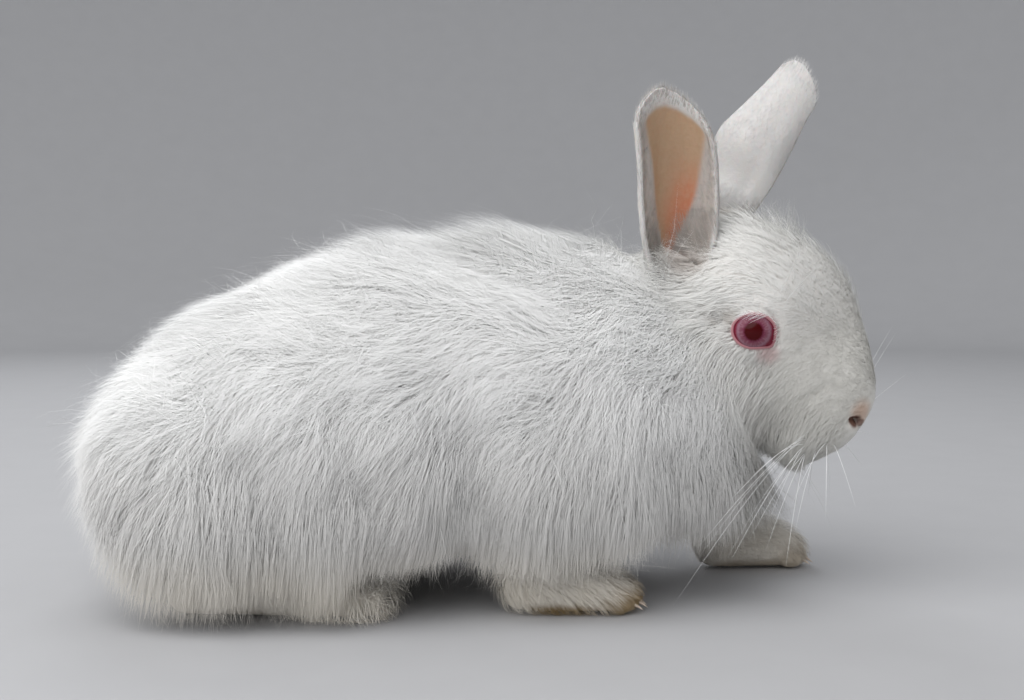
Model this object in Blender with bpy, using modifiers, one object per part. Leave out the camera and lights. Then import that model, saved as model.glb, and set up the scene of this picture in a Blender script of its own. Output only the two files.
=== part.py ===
"""A young white angora rabbit, life size, resting on the floor with its left forepaw forward.

+X runs to the nose, +Y to the animal's left and +Z up. The tables are in millimetres.
The origin ends up on the floor, under the middle of the whole animal.
"""

import math
import random
from dataclasses import dataclass

import bmesh
import bpy
from mathutils import Matrix, Vector
from mathutils.bvhtree import BVHTree

MM = 0.001
GAP = 0.3
HALF_GAP = GAP / 2
FAR = 400.0


@dataclass
class Wool:
    """A body part under its coat: sections from front to back, and the size of the locks over it."""

    sections: tuple
    sides: int
    steps: int
    depth: float
    depth_under: float
    depth_front: float
    front_share: float
    rows: int
    pitch: float
    length: float
    width: float
    thickness: float
    sink: float


# Each section: x, low, high, half width.
TRUNK = Wool(
    sections=(
        (72, 42, 62, 10),
        (68, 33, 82, 24),
        (57, 27, 97, 32),
        (36, 23, 106, 39),
        (10, 20, 108, 44),
        (-20, 17, 108, 47),
        (-50, 15, 107, 52),
        (-79, 14, 97, 55),
        (-102, 14, 84, 51),
        (-117, 17, 70, 40),
        (-127, 24, 57, 26),
        (-131, 33, 47, 10),
    ),
    sides=22,
    steps=16,
    depth=14.0,
    depth_under=9.0,
    depth_front=8.0,
    front_share=0.16,
    rows=14,
    pitch=19.4,
    length=39.0,
    width=20.5,
    thickness=6.5,
    sink=4.0,
)
TAIL = Wool(
    sections=(
        (-117, 34, 60, 9),
        (-122, 28, 65, 12),
        (-131, 26, 65, 12.5),
        (-138, 30, 61, 10),
        (-142, 37, 54, 5),
    ),
    sides=10,
    steps=6,
    depth=4.5,
    depth_under=3.0,
    depth_front=4.0,
    front_share=0.2,
    rows=3,
    pitch=17.0,
    length=21.0,
    width=14.0,
    thickness=3.8,
    sink=2.2,
)
WAIST = 0.44
POWER_ABOVE = 2.2
POWER_BELOW = 2.9
# How low the coat hangs: x, height of the tips over the floor.
HEM = ((75, 28), (62, 23), (40, 15), (10, 10), (-15, 8), (-42, 4), (-70, 2.4), (-160, 2.4))
HEM_REACH = 15.0

# The shape of a lock along its length: share, width, thickness.
LOCK_SHAPE = ((0.0, 0.8, 0.9), (0.36, 1.0, 1.0), (0.72, 0.72, 0.66))
LOCK_ARCH = 2.1
LOCK_LEAST_SHARE = 0.4
LOCK_MOST_SHARE = 1.5
LOCK_LEAST_Z = 1.6
LOCK_LEAST_SLOPE = -0.7
LOCK_SEED = 7
# How unevenly the locks are spread: along the body, round it, in size and in turn.
LOCK_SPREAD = (0.012, 0.12, 0.12, 0.16)
LOCK_FIRST_ROW = 0.03
LOCK_LAST_ROW = 0.96

# The head in its own frame: along the face, low, high, half width.
HEAD_AT = (81, -3, 88)
HEAD_PITCH = math.radians(40)
HEAD_YAW = math.radians(-12)
HEAD = (
    (-43, -8, 12, 9),
    (-38, -19, 21, 18),
    (-29, -27, 26, 24),
    (-18, -31, 30, 27),
    (-8, -33, 32, 27.5),
    (3, -34, 33, 26),
    (14, -32.5, 30.5, 23),
    (23, -30.5, 25, 20),
    (31, -29, 20, 17),
    (37.5, -27, 15, 14.5),
    (42.5, -22.5, 10.5, 11.5),
    (45.8, -16, 6.5, 8),
    (47.6, -9, 2, 4),
)
HEAD_SIDES = 24
HEAD_STEPS = 23
HEAD_WAIST = 0.42
HEAD_POWER = 2.25
# Swellings and hollows of the head: place in its frame, radius, height. Each one is on both sides.
HEAD_FORMS = (
    ((1, 21, 12), 8, 1.6),
    ((-1, 27, 0), 10, -2.6),
    ((-10, 25, -15), 12, 2.0),
    ((38, 12, -9), 8, 1.8),
    ((20, 15, 14), 9, -1.0),
    ((46, 0, 7), 5, 1.0),
)
EYE_AT = (0, 20, 0)
EYE_RADIUS = 8.0
LID_RADII = (7.6, 6.4)
LID_THICKNESS = 1.3
LID_TILT = math.radians(8)
LID_OUT = 5.0
LID_STEPS = 16
NOSTRIL_AT = (46.2, 4.4, -1.2)
NOSTRIL_RADII = (2.6, 1.9, 1.1)
NOSTRIL_SLANT = math.radians(-28)
# The split of the upper lip, and the line of the mouth on one side, drawn on the head's surface.
LIP_SPLIT = ((47.5, 0, 0), (48, 0, -4), (48, 0, -8), (47, 0, -13))
MOUTH = ((47, 0, -12), (45.5, 3.2, -15.5), (42, 6.8, -19.5), (37, 9.6, -23), (31, 11, -26))
GROOVE_RADIUS = 0.75

# The plane between head and neck: a point on it, and its direction forward and up.
THROAT_AT = (47, 0, 118)
THROAT_NORMAL = (0.884, 0, 0.467)

# The ruff overlies the shoulders like a shingle, along a cone round the spine.
RUFF_AXIS_Z = 65.0
RUFF_BACK = 2.2
RUFF_FRONT_X = 45.0
RUFF_FRONT_RADIUS = 36.0

# Each haunch is a block low on the side of the rump, under the coat of the back.
HAUNCH_FRONT_X = -38.0
HAUNCH_INNER_Y = 18.0
HAUNCH_TOP_Z = 84.0
HAUNCH_SHOULDER_Y = 50.0
HAUNCH_SLOPE = 2.1

# An ear along its length: share of the length, half width, half angle of its curl in degrees.
EAR = (
    (0.0, 6.0, 150),
    (0.12, 7.5, 128),
    (0.26, 10.5, 94),
    (0.38, 12.7, 74),
    (0.55, 13.4, 60),
    (0.75, 13.2, 50),
    (0.87, 11.6, 44),
    (0.94, 8.4, 40),
    (0.985, 4.6, 38),
    (1.0, 2.0, 36),
)
EAR_LENGTH = 72.0
EAR_THICKNESS = 2.0
EAR_STEPS = 13
EAR_ACROSS = 8
EAR_TIP_SIDE = 3.5
EAR_TIP_FORWARD = 3.0
# The room left for an ear in the coat: how square it is, and how much deeper than the ear.
EAR_ROOM_POWER = 5.0
EAR_ROOM_SHARE = 1.1
EAR_RIGHT = {"root": (54.5, -16, 94), "along": (-0.04, -0.06, 0.99), "opens": (0.25, -0.97, 0)}
EAR_LEFT = {"root": (67, 11, 113), "along": (0.47, 0.12, 0.88), "opens": (0.68, 0.68, -0.3)}

# The legs and paws: x, y, z of the middle, half width, half height.
FORELEG_RIGHT = (
    (2, -29, 42, 9, 11),
    (5, -30, 30, 8.5, 11),
    (8, -31, 18, 8, 10.5),
    (12, -31, 8, 7, 8),
)
FOREPAW_RIGHT = (
    (-3, -31, 6.5, 4.5, 5),
    (3, -31, 7, 7.5, 7.8),
    (16, -31, 7.4, 8.4, 8.4),
    (27, -31, 6.2, 8.6, 7.2),
    (35, -31, 5, 8.2, 5.8),
    (39.5, -31, 4, 5.5, 3.4),
)
FORELEG_LEFT = (
    (40, 28, 44, 9.5, 10),
    (52, 29, 32, 9, 9.5),
    (64, 31, 21, 8.5, 9),
    (76, 32, 12, 8, 8),
)
FOREPAW_LEFT = (
    (65, 31, 7.5, 5, 5),
    (71, 31, 8.6, 7.8, 9.4),
    (84, 32, 8.8, 9, 9.8),
    (95, 33, 6.6, 8.6, 7.6),
    (101.5, 33.5, 4.8, 7, 5.4),
    (104.5, 33.5, 4, 4.5, 3.2),
)
HIND_FOOT = (
    (-108, 34, 7.5, 5, 6),
    (-102, 34, 8.4, 8.5, 9.4),
    (-84, 35, 7.4, 9, 8.6),
    (-62, 36, 6.0, 9.3, 7.2),
    (-46, 37, 5, 9, 6),
    (-39, 37, 4, 6, 3.4),
)
LIMB_SIDES = 10
LIMB_POWER = 2.4
TOE_OFFSETS = (-5.6, -1.9, 1.9, 5.6)
TOE_RADII = (6.0, 2.7, 3.4)
TOE_HEIGHT = 3.9

TAIL_ROOM_AT = (-133, 0, 45)
TAIL_ROOM_RADII = (25, 15.5, 22)
COAT_NODES = ("neck", "torso", "haunch_left", "haunch_right")

COLOURS = {
    "wool": (0.90, 0.90, 0.88, 1),
    "fur": (0.90, 0.88, 0.85, 1),
    "ear": (0.90, 0.74, 0.66, 1),
    "eye": (0.45, 0.05, 0.09, 1),
    "paw": (0.84, 0.76, 0.60, 1),
}


def clear_scene():
    for obj in list(bpy.data.objects):
        bpy.data.objects.remove(obj)


def collection(name):
    made = bpy.data.collections.new(name)
    bpy.context.scene.collection.children.link(made)
    return made


def material(name, roughness=0.85):
    made = bpy.data.materials.get(name) or bpy.data.materials.new(name)
    made.use_nodes = True
    shader = made.node_tree.nodes["Principled BSDF"]
    shader.inputs["Base Color"].default_value = COLOURS[name]
    shader.inputs["Roughness"].default_value = roughness
    made.diffuse_color = COLOURS[name]
    return made


def between(table, share):
    """The row of a table at a share of its length, on a smooth curve through the rows."""
    place = min(max(share, 0.0), 1.0) * (len(table) - 1)
    i = min(int(place), len(table) - 2)
    t = place - i
    rows = [Vector(table[min(max(k, 0), len(table) - 1)]) for k in (i - 1, i, i + 1, i + 2)]
    a, b, c, d = rows
    bend, twist = 2 * a - 5 * b + 4 * c - d, 3 * b - a - 3 * c + d
    return 0.5 * (2 * b + (c - a) * t + bend * t**2 + twist * t**3)


def at_height(table, share):
    """The row of a table whose first column is a share, by straight steps."""
    for low, high in zip(table, table[1:]):
        if share <= high[0]:
            break
    t = (share - low[0]) / (high[0] - low[0])
    return [a + (b - a) * t for a, b in zip(low, high)]


def rounded(angle, half_width, up, down, power, power_down=None):
    """A point of a rounded section: across, and up or down."""
    c, s = math.cos(angle), math.sin(angle)
    power = power_down if s < 0 and power_down else power
    across = half_width * math.copysign(abs(c) ** (2 / power), c)
    height = (up if s > 0 else down) * math.copysign(abs(s) ** (2 / power), s)
    return across, height


def link(name, mesh, where):
    obj = bpy.data.objects.new(name, mesh)
    where.objects.link(obj)
    return obj


def loft(name, rings, where):
    """A closed mesh through rings of points in millimetres, each end closed by a fan."""
    bm = bmesh.new()
    loops = [[bm.verts.new(Vector(p) * MM) for p in ring] for ring in rings]
    for a, b in zip(loops, loops[1:]):
        for i in range(len(a)):
            j = (i + 1) % len(a)
            bm.faces.new((a[i], a[j], b[j], b[i]))
    for loop in (loops[0], loops[-1]):
        middle = sum((v.co for v in loop), Vector()) / len(loop)
        apex = bm.verts.new(middle)
        for i in range(len(loop)):
            bm.faces.new((loop[i], loop[(i + 1) % len(loop)], apex))
    bmesh.ops.recalc_face_normals(bm, faces=bm.faces)
    bmesh.ops.triangulate(bm, faces=bm.faces)
    mesh = bpy.data.meshes.new(name)
    bm.to_mesh(mesh)
    bm.free()
    return link(name, mesh, where)


def ellipsoid(name, at, radii, where, sides=16, rings=10):
    bm = bmesh.new()
    bmesh.ops.create_uvsphere(bm, u_segments=sides, v_segments=rings, radius=MM)
    bmesh.ops.scale(bm, vec=radii, verts=bm.verts)
    bmesh.ops.translate(bm, vec=Vector(at) * MM, verts=bm.verts)
    mesh = bpy.data.meshes.new(name)
    bm.to_mesh(mesh)
    bm.free()
    return link(name, mesh, where)


def boolean(obj, other, operation, solver="EXACT"):
    modifier = obj.modifiers.new(operation.title(), "BOOLEAN")
    modifier.operation = operation
    modifier.solver = solver
    if isinstance(other, bpy.types.Collection):
        modifier.operand_type = "COLLECTION"
        modifier.collection = other
    else:
        modifier.object = other
    bpy.context.view_layer.objects.active = obj
    bpy.ops.object.modifier_apply(modifier=modifier.name)


def fuse(obj, pieces, solver="EXACT"):
    """Joins all the objects of a collection to obj, and removes them."""
    boolean(obj, pieces, "UNION", solver)
    for piece in list(pieces.objects):
        bpy.data.objects.remove(piece)
    bpy.data.collections.remove(pieces)


def keep_largest(obj):
    """Leaves only the closed surface of most volume, so that scraps of a cut are dropped."""
    bm = bmesh.new()
    bm.from_mesh(obj.data)
    bm.faces.ensure_lookup_table()
    left, shells = set(bm.faces), []
    while left:
        shell, edge = set(), [left.pop()]
        while edge:
            face = edge.pop()
            shell.add(face)
            for near in (f for e in face.edges for f in e.link_faces):
                if near in left:
                    left.discard(near)
                    edge.append(near)
        shells.append(shell)
    shells.sort(key=lambda shell: sum(volume_under(f) for f in shell))
    scraps = [face for shell in shells[:-1] for face in shell]
    bmesh.ops.delete(bm, geom=scraps, context="FACES")
    bm.to_mesh(obj.data)
    bm.free()


def volume_under(face):
    a = face.verts[0].co
    return sum(a.dot(b.co.cross(c.co)) for b, c in zip(face.verts[1:], face.verts[2:]))


def grown(obj, by, where):
    """A copy of a smooth piece, larger by so many millimetres all over, used as a cutter."""
    copy = link(obj.name + "_room", obj.data.copy(), where)
    bm = bmesh.new()
    bm.from_mesh(copy.data)
    bmesh.ops.remove_doubles(bm, verts=bm.verts, dist=0.01 * MM)
    bm.normal_update()
    moves = {v: v.normal * by * MM for v in bm.verts}
    for v, move in moves.items():
        v.co += move
    bm.to_mesh(copy.data)
    bm.free()
    return copy


def wool_point(wool, share, angle):
    """A point of the body under the coat: a share of the way from front to back, and an angle round it."""
    x, low, high, half_width = between(wool.sections, share)
    waist = low + (high - low) * WAIST
    across, height = rounded(angle, half_width, high - waist, waist - low, POWER_ABOVE, POWER_BELOW)
    return Vector((x, across, waist + height))


def wool_frame(wool, share, angle):
    """A point of the body, the directions along and round it there, and the one out of it."""
    share = min(max(share, 0.004), 0.996)
    step = 0.003
    along = wool_point(wool, share + step, angle) - wool_point(wool, share - step, angle)
    around = wool_point(wool, share, angle + step) - wool_point(wool, share, angle - step)
    out = along.cross(around).normalized()
    return wool_point(wool, share, angle), along / (2 * step), around / (2 * step), out


def body(name, wool, where):
    angles = [2 * math.pi * i / wool.sides for i in range(wool.sides)]
    shares = [k / wool.steps for k in range(wool.steps + 1)]
    return loft(name, [[wool_frame(wool, s, a)[0] for a in angles] for s in shares], where)


def lie_of_coat(point):
    """The way the wool lies: back along the top, down and a little back on the sides."""
    low = min(max((95 - point.z) / 55, 0.0), 1.0)
    return Vector((-1.0 + 0.55 * low, 0, -0.35 - 0.9 * low))


def coat_depth(wool, share, out):
    """How far the tips stand off the body: least in front, less below than on top."""
    back = min(share / wool.front_share, 1.0)
    depth = wool.depth_front + (wool.depth - wool.depth_front) * back
    return depth if out.z > 0 else depth + (wool.depth_under - wool.depth) * back * -out.z


def hem(x):
    for front, back in zip(HEM, HEM[1:]):
        if x > back[0]:
            break
    t = (x - front[0]) / (back[0] - front[0])
    return front[1] + (back[1] - front[1]) * t


def lock_path(wool, share, angle, length, size, turn):
    """The middle line of a lock, as rows of: place, way on, way out. It hangs where the body turns under."""
    rows = []
    done = 0.0
    centre = None
    for t in [row[0] for row in LOCK_SHAPE] + [1.0]:
        step = (t - done) * length
        done = t
        share = min(max(share, 0.01), 0.99)
        point, along, around, out = wool_frame(wool, share, angle)
        way = lie_of_coat(point)
        way = Matrix.Rotation(turn, 3, out) @ (way - out * way.dot(out)).normalized()
        share += way.dot(along) / along.length_squared * step
        angle += way.dot(around) / around.length_squared * step
        point, _, _, out = wool_frame(wool, share, angle)
        rise = coat_depth(wool, share, out) * size * math.sin(t * LOCK_ARCH)
        place = point + out * (rise - wool.sink * (1 - t))
        if centre:
            hang = min(max(0.35 - out.z * 3, 0.0), 0.95)
            fall = centre + (way + Vector((0, 0, -2))).normalized() * step
            place = place.lerp(fall, hang)
            way = (place - centre).normalized()
        centre = place
        rows.append((centre, way, out))
    return rows


def over_hem(rows):
    tip = rows[-1][0]
    return tip.z - hem(tip.x)


def lock(name, wool, share, angle, size, turn, where):
    """One flat, tapered lock of wool, rooted in the body and lying over it as far as the hem."""
    length = wool.length * size
    rows = lock_path(wool, share, angle, length, size, turn)
    while over_hem(rows) < 0 and length > wool.length * LOCK_LEAST_SHARE:
        length *= 0.94
        rows = lock_path(wool, share, angle, length, size, turn)
    while 2 < over_hem(rows) < HEM_REACH and length < wool.length * LOCK_MOST_SHARE:
        length *= 1.05
        rows = lock_path(wool, share, angle, length, size, turn)
    rings = []
    for (centre, way, out), (_, width, thickness) in zip(rows, (*LOCK_SHAPE, (1.0, 0.0, 0.0))):
        flat = way.cross(out).normalized()
        thick = flat.cross(way).normalized()
        half, deep = wool.width * size * width / 2, wool.thickness * size * thickness / 2
        corners = (flat * half, thick * deep, -flat * half, -thick * deep)
        rings.append([raised(centre + corner) for corner in corners])
    return spike(name, rings, where)


def raised(point):
    return Vector((point.x, point.y, max(point.z, LOCK_LEAST_Z)))


def spike(name, rings, where):
    """A closed mesh through rings, ending in a point at the middle of the last one."""
    bm = bmesh.new()
    loops = [[bm.verts.new(p * MM) for p in ring] for ring in rings[:-1]]
    apex = bm.verts.new(rings[-1][0] * MM)
    for a, b in zip(loops, loops[1:]):
        for i in range(4):
            j = (i + 1) % 4
            bm.faces.new((a[i], a[j], b[j], b[i]))
    for i in range(4):
        bm.faces.new((loops[-1][i], loops[-1][(i + 1) % 4], apex))
    bm.faces.new(loops[0])
    bmesh.ops.recalc_face_normals(bm, faces=bm.faces)
    bmesh.ops.triangulate(bm, faces=bm.faces)
    mesh = bpy.data.meshes.new(name)
    bm.to_mesh(mesh)
    bm.free()
    return link(name, mesh, where)


def locks(wool, where):
    """Rows of locks, evenly spread over all of the body but its underside."""
    rng = random.Random(LOCK_SEED)
    along, round_it, in_size, in_turn = LOCK_SPREAD
    for row in range(wool.rows):
        share = LOCK_FIRST_ROW + (LOCK_LAST_ROW - LOCK_FIRST_ROW) * row / (wool.rows - 1)
        points = [wool_point(wool, share, 2 * math.pi * i / 60) for i in range(61)]
        steps = [(b - a).length for a, b in zip(points, points[1:])]
        places = max(4, round(sum(steps) / wool.pitch))
        for place in range(places):
            target = sum(steps) * (place + 0.5 * (row % 2) + rng.uniform(-round_it, round_it)) / places
            i = 0
            while target > steps[i % 60]:
                target -= steps[i % 60]
                i += 1
            angle = 2 * math.pi * (i + target / steps[i % 60]) / 60
            root = share + rng.uniform(-along, along)
            size, turn = 1 + rng.uniform(-in_size, in_size), rng.uniform(-in_turn, in_turn)
            if wool_frame(wool, root, angle)[3].z > LOCK_LEAST_SLOPE:
                lock(f"lock_{row}_{place}", wool, root, angle, size, turn, where)


def coated(name, wool, where):
    """A body part joined to all its locks."""
    made = body(name, wool, where)
    pieces = collection(name + "_locks")
    locks(wool, pieces)
    fuse(made, pieces, "MANIFOLD")
    keep_largest(made)
    return made


def throat_block(name, where, side):
    """A block that fills one side of the plane between head and neck, and passes it by half the gap."""
    normal = Vector(THROAT_NORMAL).normalized()
    turn = normal.to_track_quat("Z", "Y").to_matrix().to_4x4()
    centre = Vector(THROAT_AT) + normal * side * (FAR / 2 - HALF_GAP)
    bm = bmesh.new()
    bmesh.ops.create_cube(bm, size=FAR * MM, matrix=Matrix.Translation(centre * MM) @ turn)
    mesh = bpy.data.meshes.new(name)
    bm.to_mesh(mesh)
    bm.free()
    return link(name, mesh, where)


def ruff_cone(name, where, shift):
    """The space behind and inside the ruff: a cone that opens to the back, cut off flat in front."""
    front = RUFF_FRONT_X + shift
    slant = shift * math.sqrt(1 + 1 / RUFF_BACK**2)
    rings = []
    for x in (front, -FAR):
        radius = RUFF_FRONT_RADIUS + (RUFF_FRONT_X - x) / RUFF_BACK + slant
        ring = [2 * math.pi * i / 40 for i in range(40)]
        rings.append([(x, radius * math.cos(a), RUFF_AXIS_Z + radius * math.sin(a)) for a in ring])
    return loft(name, rings, where)


def haunch_block(name, where, side, shift):
    """The room that holds one haunch, larger by shift."""
    slope = shift * math.sqrt(1 + HAUNCH_SLOPE**2)
    inner, shoulder = HAUNCH_INNER_Y - shift, HAUNCH_SHOULDER_Y
    top = HAUNCH_TOP_Z + shift
    drop = top + 20
    outline = (
        (inner, top - drop),
        (inner, top),
        (shoulder, top),
        (shoulder + (drop + slope) / HAUNCH_SLOPE, top - drop),
    )
    rings = [[(x, side * y, z) for y, z in outline] for x in (HAUNCH_FRONT_X + shift, -FAR)]
    return loft(name, rings, where)


def head_frame():
    turn = Matrix.Rotation(HEAD_YAW, 4, "Z") @ Matrix.Rotation(HEAD_PITCH, 4, "Y")
    return Matrix.Translation(HEAD_AT) @ turn


def head_form(point):
    """How far the face stands out or in at a point of the head's frame."""
    total = 0.0
    for centre, radius, height in HEAD_FORMS:
        gap = (Vector((point.x, abs(point.y), point.z)) - Vector(centre)).length
        total += height * math.exp(-((gap / radius) ** 2))
    groove = math.exp(-((point.y / 1.8) ** 2) - ((point.z + 8) / 9) ** 2)
    return total - 1.6 * groove * max(0.0, min(1.0, (point.x - 38) / 6))


def head(where):
    steps = HEAD_STEPS
    frame = head_frame()
    angles = [2 * math.pi * i / HEAD_SIDES for i in range(HEAD_SIDES)]
    rings = []
    for k in range(steps + 1):
        x, low, high, half_width = between(HEAD, k / steps)
        waist = low + (high - low) * HEAD_WAIST
        ring = []
        for a in angles:
            y, z = rounded(a, half_width, high - waist, waist - low, HEAD_POWER)
            out = Vector((0.25 * math.copysign(1, x) if abs(x) > 40 else 0.0, math.cos(a), math.sin(a)))
            point = Vector((x, y, waist + z))
            ring.append(frame @ (point + out.normalized() * head_form(point)))
        rings.append(ring)
    return loft("head", rings, where)


def eye(name, side, where):
    frame = head_frame()
    at = frame @ Vector((EYE_AT[0], side * EYE_AT[1], EYE_AT[2]))
    return ellipsoid(name, at, (EYE_RADIUS,) * 3, where, sides=14, rings=8)


def groove(name, points, surface, where):
    """A thin tube with its middle on a surface, used to draw a line there."""
    points = [surface.find_nearest(head_frame() @ Vector(p) * MM)[0] / MM for p in points]
    count = 2 * (len(points) - 1)
    middles = [between(points, k / count) for k in range(count + 1)]
    middles = [surface.find_nearest(m * MM)[0] / MM for m in middles]
    rings = []
    for k, middle in enumerate(middles):
        along = (middles[min(k + 1, count)] - middles[max(k - 1, 0)]).normalized()
        out = surface.find_nearest(middle * MM)[1]
        side = along.cross(out).normalized()
        out = side.cross(along)
        turns = [2 * math.pi * i / 5 for i in range(5)]
        rings.append([middle + (side * math.cos(a) + out * math.sin(a)) * GROOVE_RADIUS for a in turns])
    return loft(name, rings, where)


def nose_and_mouth(skull, cutters):
    """Cuts the nostrils, the split of the upper lip and the line of the mouth."""
    surface = BVHTree.FromObject(skull, bpy.context.evaluated_depsgraph_get())
    cuts = [groove("lip_split", LIP_SPLIT, surface, cutters)]
    for side, name in ((-1, "right"), (1, "left")):
        line = [(x, side * y, z) for x, y, z in MOUTH]
        cuts.append(groove("mouth_" + name, line, surface, cutters))
        x, y, z = NOSTRIL_AT
        nostril = ellipsoid("nostril_" + name, (0, 0, 0), NOSTRIL_RADII, cutters, sides=8, rings=6)
        at = surface.find_nearest(head_frame() @ Vector((x, side * y, z)) * MM)[0]
        turn = head_frame().to_3x3().to_4x4() @ Matrix.Rotation(side * NOSTRIL_SLANT, 4, "X")
        nostril.data.transform(Matrix.Translation(at) @ turn)
        cuts.append(nostril)
    for cutter in cuts:
        boolean(skull, cutter, "DIFFERENCE")


def lid(side, where):
    """The rim of both lids round one eye."""
    at = Matrix.Translation((EYE_AT[0], side * (EYE_AT[1] + LID_OUT), EYE_AT[2]))
    frame = head_frame() @ at @ Matrix.Rotation(LID_TILT, 4, "Y")
    rings = []
    for k in range(LID_STEPS):
        a = 2 * math.pi * k / LID_STEPS
        ring = []
        for i in range(5):
            b = 2 * math.pi * i / 5
            grow = 1 + LID_THICKNESS * math.cos(b) / LID_RADII[0]
            x, z = LID_RADII[0] * grow * math.cos(a), LID_RADII[1] * grow * math.sin(a)
            ring.append(frame @ Vector((x, side * LID_THICKNESS * math.sin(b), z)))
        rings.append(ring)
    return closed_loop("lid", rings, where)


def closed_loop(name, rings, where):
    """A ring-shaped tube through its sections, the last joined to the first."""
    bm = bmesh.new()
    loops = [[bm.verts.new(Vector(p) * MM) for p in ring] for ring in rings]
    for a, b in zip(loops, loops[1:] + loops[:1]):
        for i in range(len(a)):
            j = (i + 1) % len(a)
            bm.faces.new((a[i], a[j], b[j], b[i]))
    bmesh.ops.recalc_face_normals(bm, faces=bm.faces)
    mesh = bpy.data.meshes.new(name)
    bm.to_mesh(mesh)
    bm.free()
    return link(name, mesh, where)


def ear_axes(along, opens):
    z_axis = Vector(along).normalized()
    y_axis = Vector(opens)
    y_axis = (y_axis - z_axis * y_axis.dot(z_axis)).normalized()
    return z_axis, y_axis, y_axis.cross(z_axis)


def ear(name, root, along, opens, where):
    """One ear: a curled sheet, a tube at its root and an open cup above."""
    z_axis, y_axis, x_axis = ear_axes(along, opens)
    bm = bmesh.new()
    rows = []
    for k in range(EAR_STEPS + 1):
        share, half_width, curl = at_height(EAR, 1 - (1 - k / EAR_STEPS) ** 1.5)
        curl = math.radians(curl)
        radius = half_width / math.sin(min(curl, math.pi / 2))
        row = []
        for i in range(EAR_ACROSS + 1):
            a = curl * (2 * i / EAR_ACROSS - 1)
            side, depth = radius * math.sin(a), radius * (math.cos(curl) - math.cos(a))
            depth += EAR_TIP_FORWARD * share**2
            side += EAR_TIP_SIDE * share**5
            point = Vector(root) + x_axis * side + y_axis * depth + z_axis * share * EAR_LENGTH
            row.append(bm.verts.new(point * MM))
        rows.append(row)
    for a, b in zip(rows, rows[1:]):
        for i in range(EAR_ACROSS):
            bm.faces.new((a[i], a[i + 1], b[i + 1], b[i]))
    bmesh.ops.triangulate(bm, faces=bm.faces)
    mesh = bpy.data.meshes.new(name)
    bm.to_mesh(mesh)
    bm.free()
    obj = link(name, mesh, where)
    wall = obj.modifiers.new("Wall", "SOLIDIFY")
    wall.thickness = EAR_THICKNESS * MM
    wall.offset = 0
    bpy.context.view_layer.objects.active = obj
    bpy.ops.object.modifier_apply(modifier=wall.name)
    return obj


def ear_room(name, root, along, opens, where):
    """The space that an ear takes with its hollow, used to keep the coat clear of it."""
    z_axis, y_axis, x_axis = ear_axes(along, opens)
    rings = []
    for k in range(-3, EAR_STEPS + 1, 2):
        share, half_width, curl = at_height(EAR, max(k, 0) / EAR_STEPS)
        curl = math.radians(curl)
        radius = half_width / math.sin(min(curl, math.pi / 2))
        hollow = radius * (1 - math.cos(curl)) / 2
        depth = (hollow + EAR_THICKNESS) * EAR_ROOM_SHARE
        middle = Vector(root) + y_axis * (EAR_TIP_FORWARD * share**2 - hollow)
        middle += z_axis * k / EAR_STEPS * EAR_LENGTH
        turns = [2 * math.pi * i / 20 for i in range(20)]
        section = [rounded(a, half_width + EAR_THICKNESS, depth, depth, EAR_ROOM_POWER) for a in turns]
        rings.append([middle + x_axis * across + y_axis * height for across, height in section])
    return loft(name, rings, where)


def limb(name, stations, where):
    """A leg or paw through its sections, flat where it would pass the floor."""
    count = 2 * (len(stations) - 1)
    rows = [between(stations, k / count) for k in range(count + 1)]
    middles = [Vector(row[:3]) for row in rows]
    rings = []
    for k, row in enumerate(rows):
        along = (middles[min(k + 1, count)] - middles[max(k - 1, 0)]).normalized()
        across = Vector((0, 1, 0))
        up = along.cross(across).normalized()
        ring = []
        for i in range(LIMB_SIDES):
            side, height = rounded(2 * math.pi * i / LIMB_SIDES, row[3], row[4], row[4], LIMB_POWER)
            point = middles[k] + across * side + up * height
            ring.append(Vector((point.x, point.y, max(point.z, 0.0))))
        rings.append(ring)
    return loft(name, rings, where)


def toes(stations, where):
    x, y = stations[-2][:2]
    for k, offset in enumerate(TOE_OFFSETS):
        forward = 0.0 if k in (0, 3) else 2.0
        ellipsoid(f"toe_{k}", (x + forward, y + offset, TOE_HEIGHT), TOE_RADII, where, sides=6, rings=4)


def paw(name, lofts, where):
    """A foot and the leg above it, joined to its toes."""
    pieces = collection(name + "_pieces")
    body = limb(name, lofts[0], where)
    for k, stations in enumerate(lofts[1:]):
        limb(f"{name}_leg_{k}", stations, pieces)
    toes(lofts[0], pieces)
    fuse(body, pieces)
    return body


def mirrored(stations):
    return tuple((x, -y, *rest) for x, y, *rest in stations)


def finish(obj, colour):
    obj.data.materials.clear()
    obj.data.materials.append(material(colour, 0.15 if colour == "eye" else 0.85))
    obj.data.shade_smooth()
    obj.data.set_sharp_from_angle(angle=math.radians(50))


def settle(nodes):
    """Moves every piece so that the floor is at zero and the middle of the animal over the origin."""
    corners = [v.co for obj in nodes for v in obj.data.vertices]
    low = Vector([min(c[k] for c in corners) for k in range(3)])
    high = Vector([max(c[k] for c in corners) for k in range(3)])
    shift = Vector((-(low.x + high.x) / 2, -(low.y + high.y) / 2, -low.z))
    for obj in nodes:
        obj.data.transform(Matrix.Translation(shift))


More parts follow.
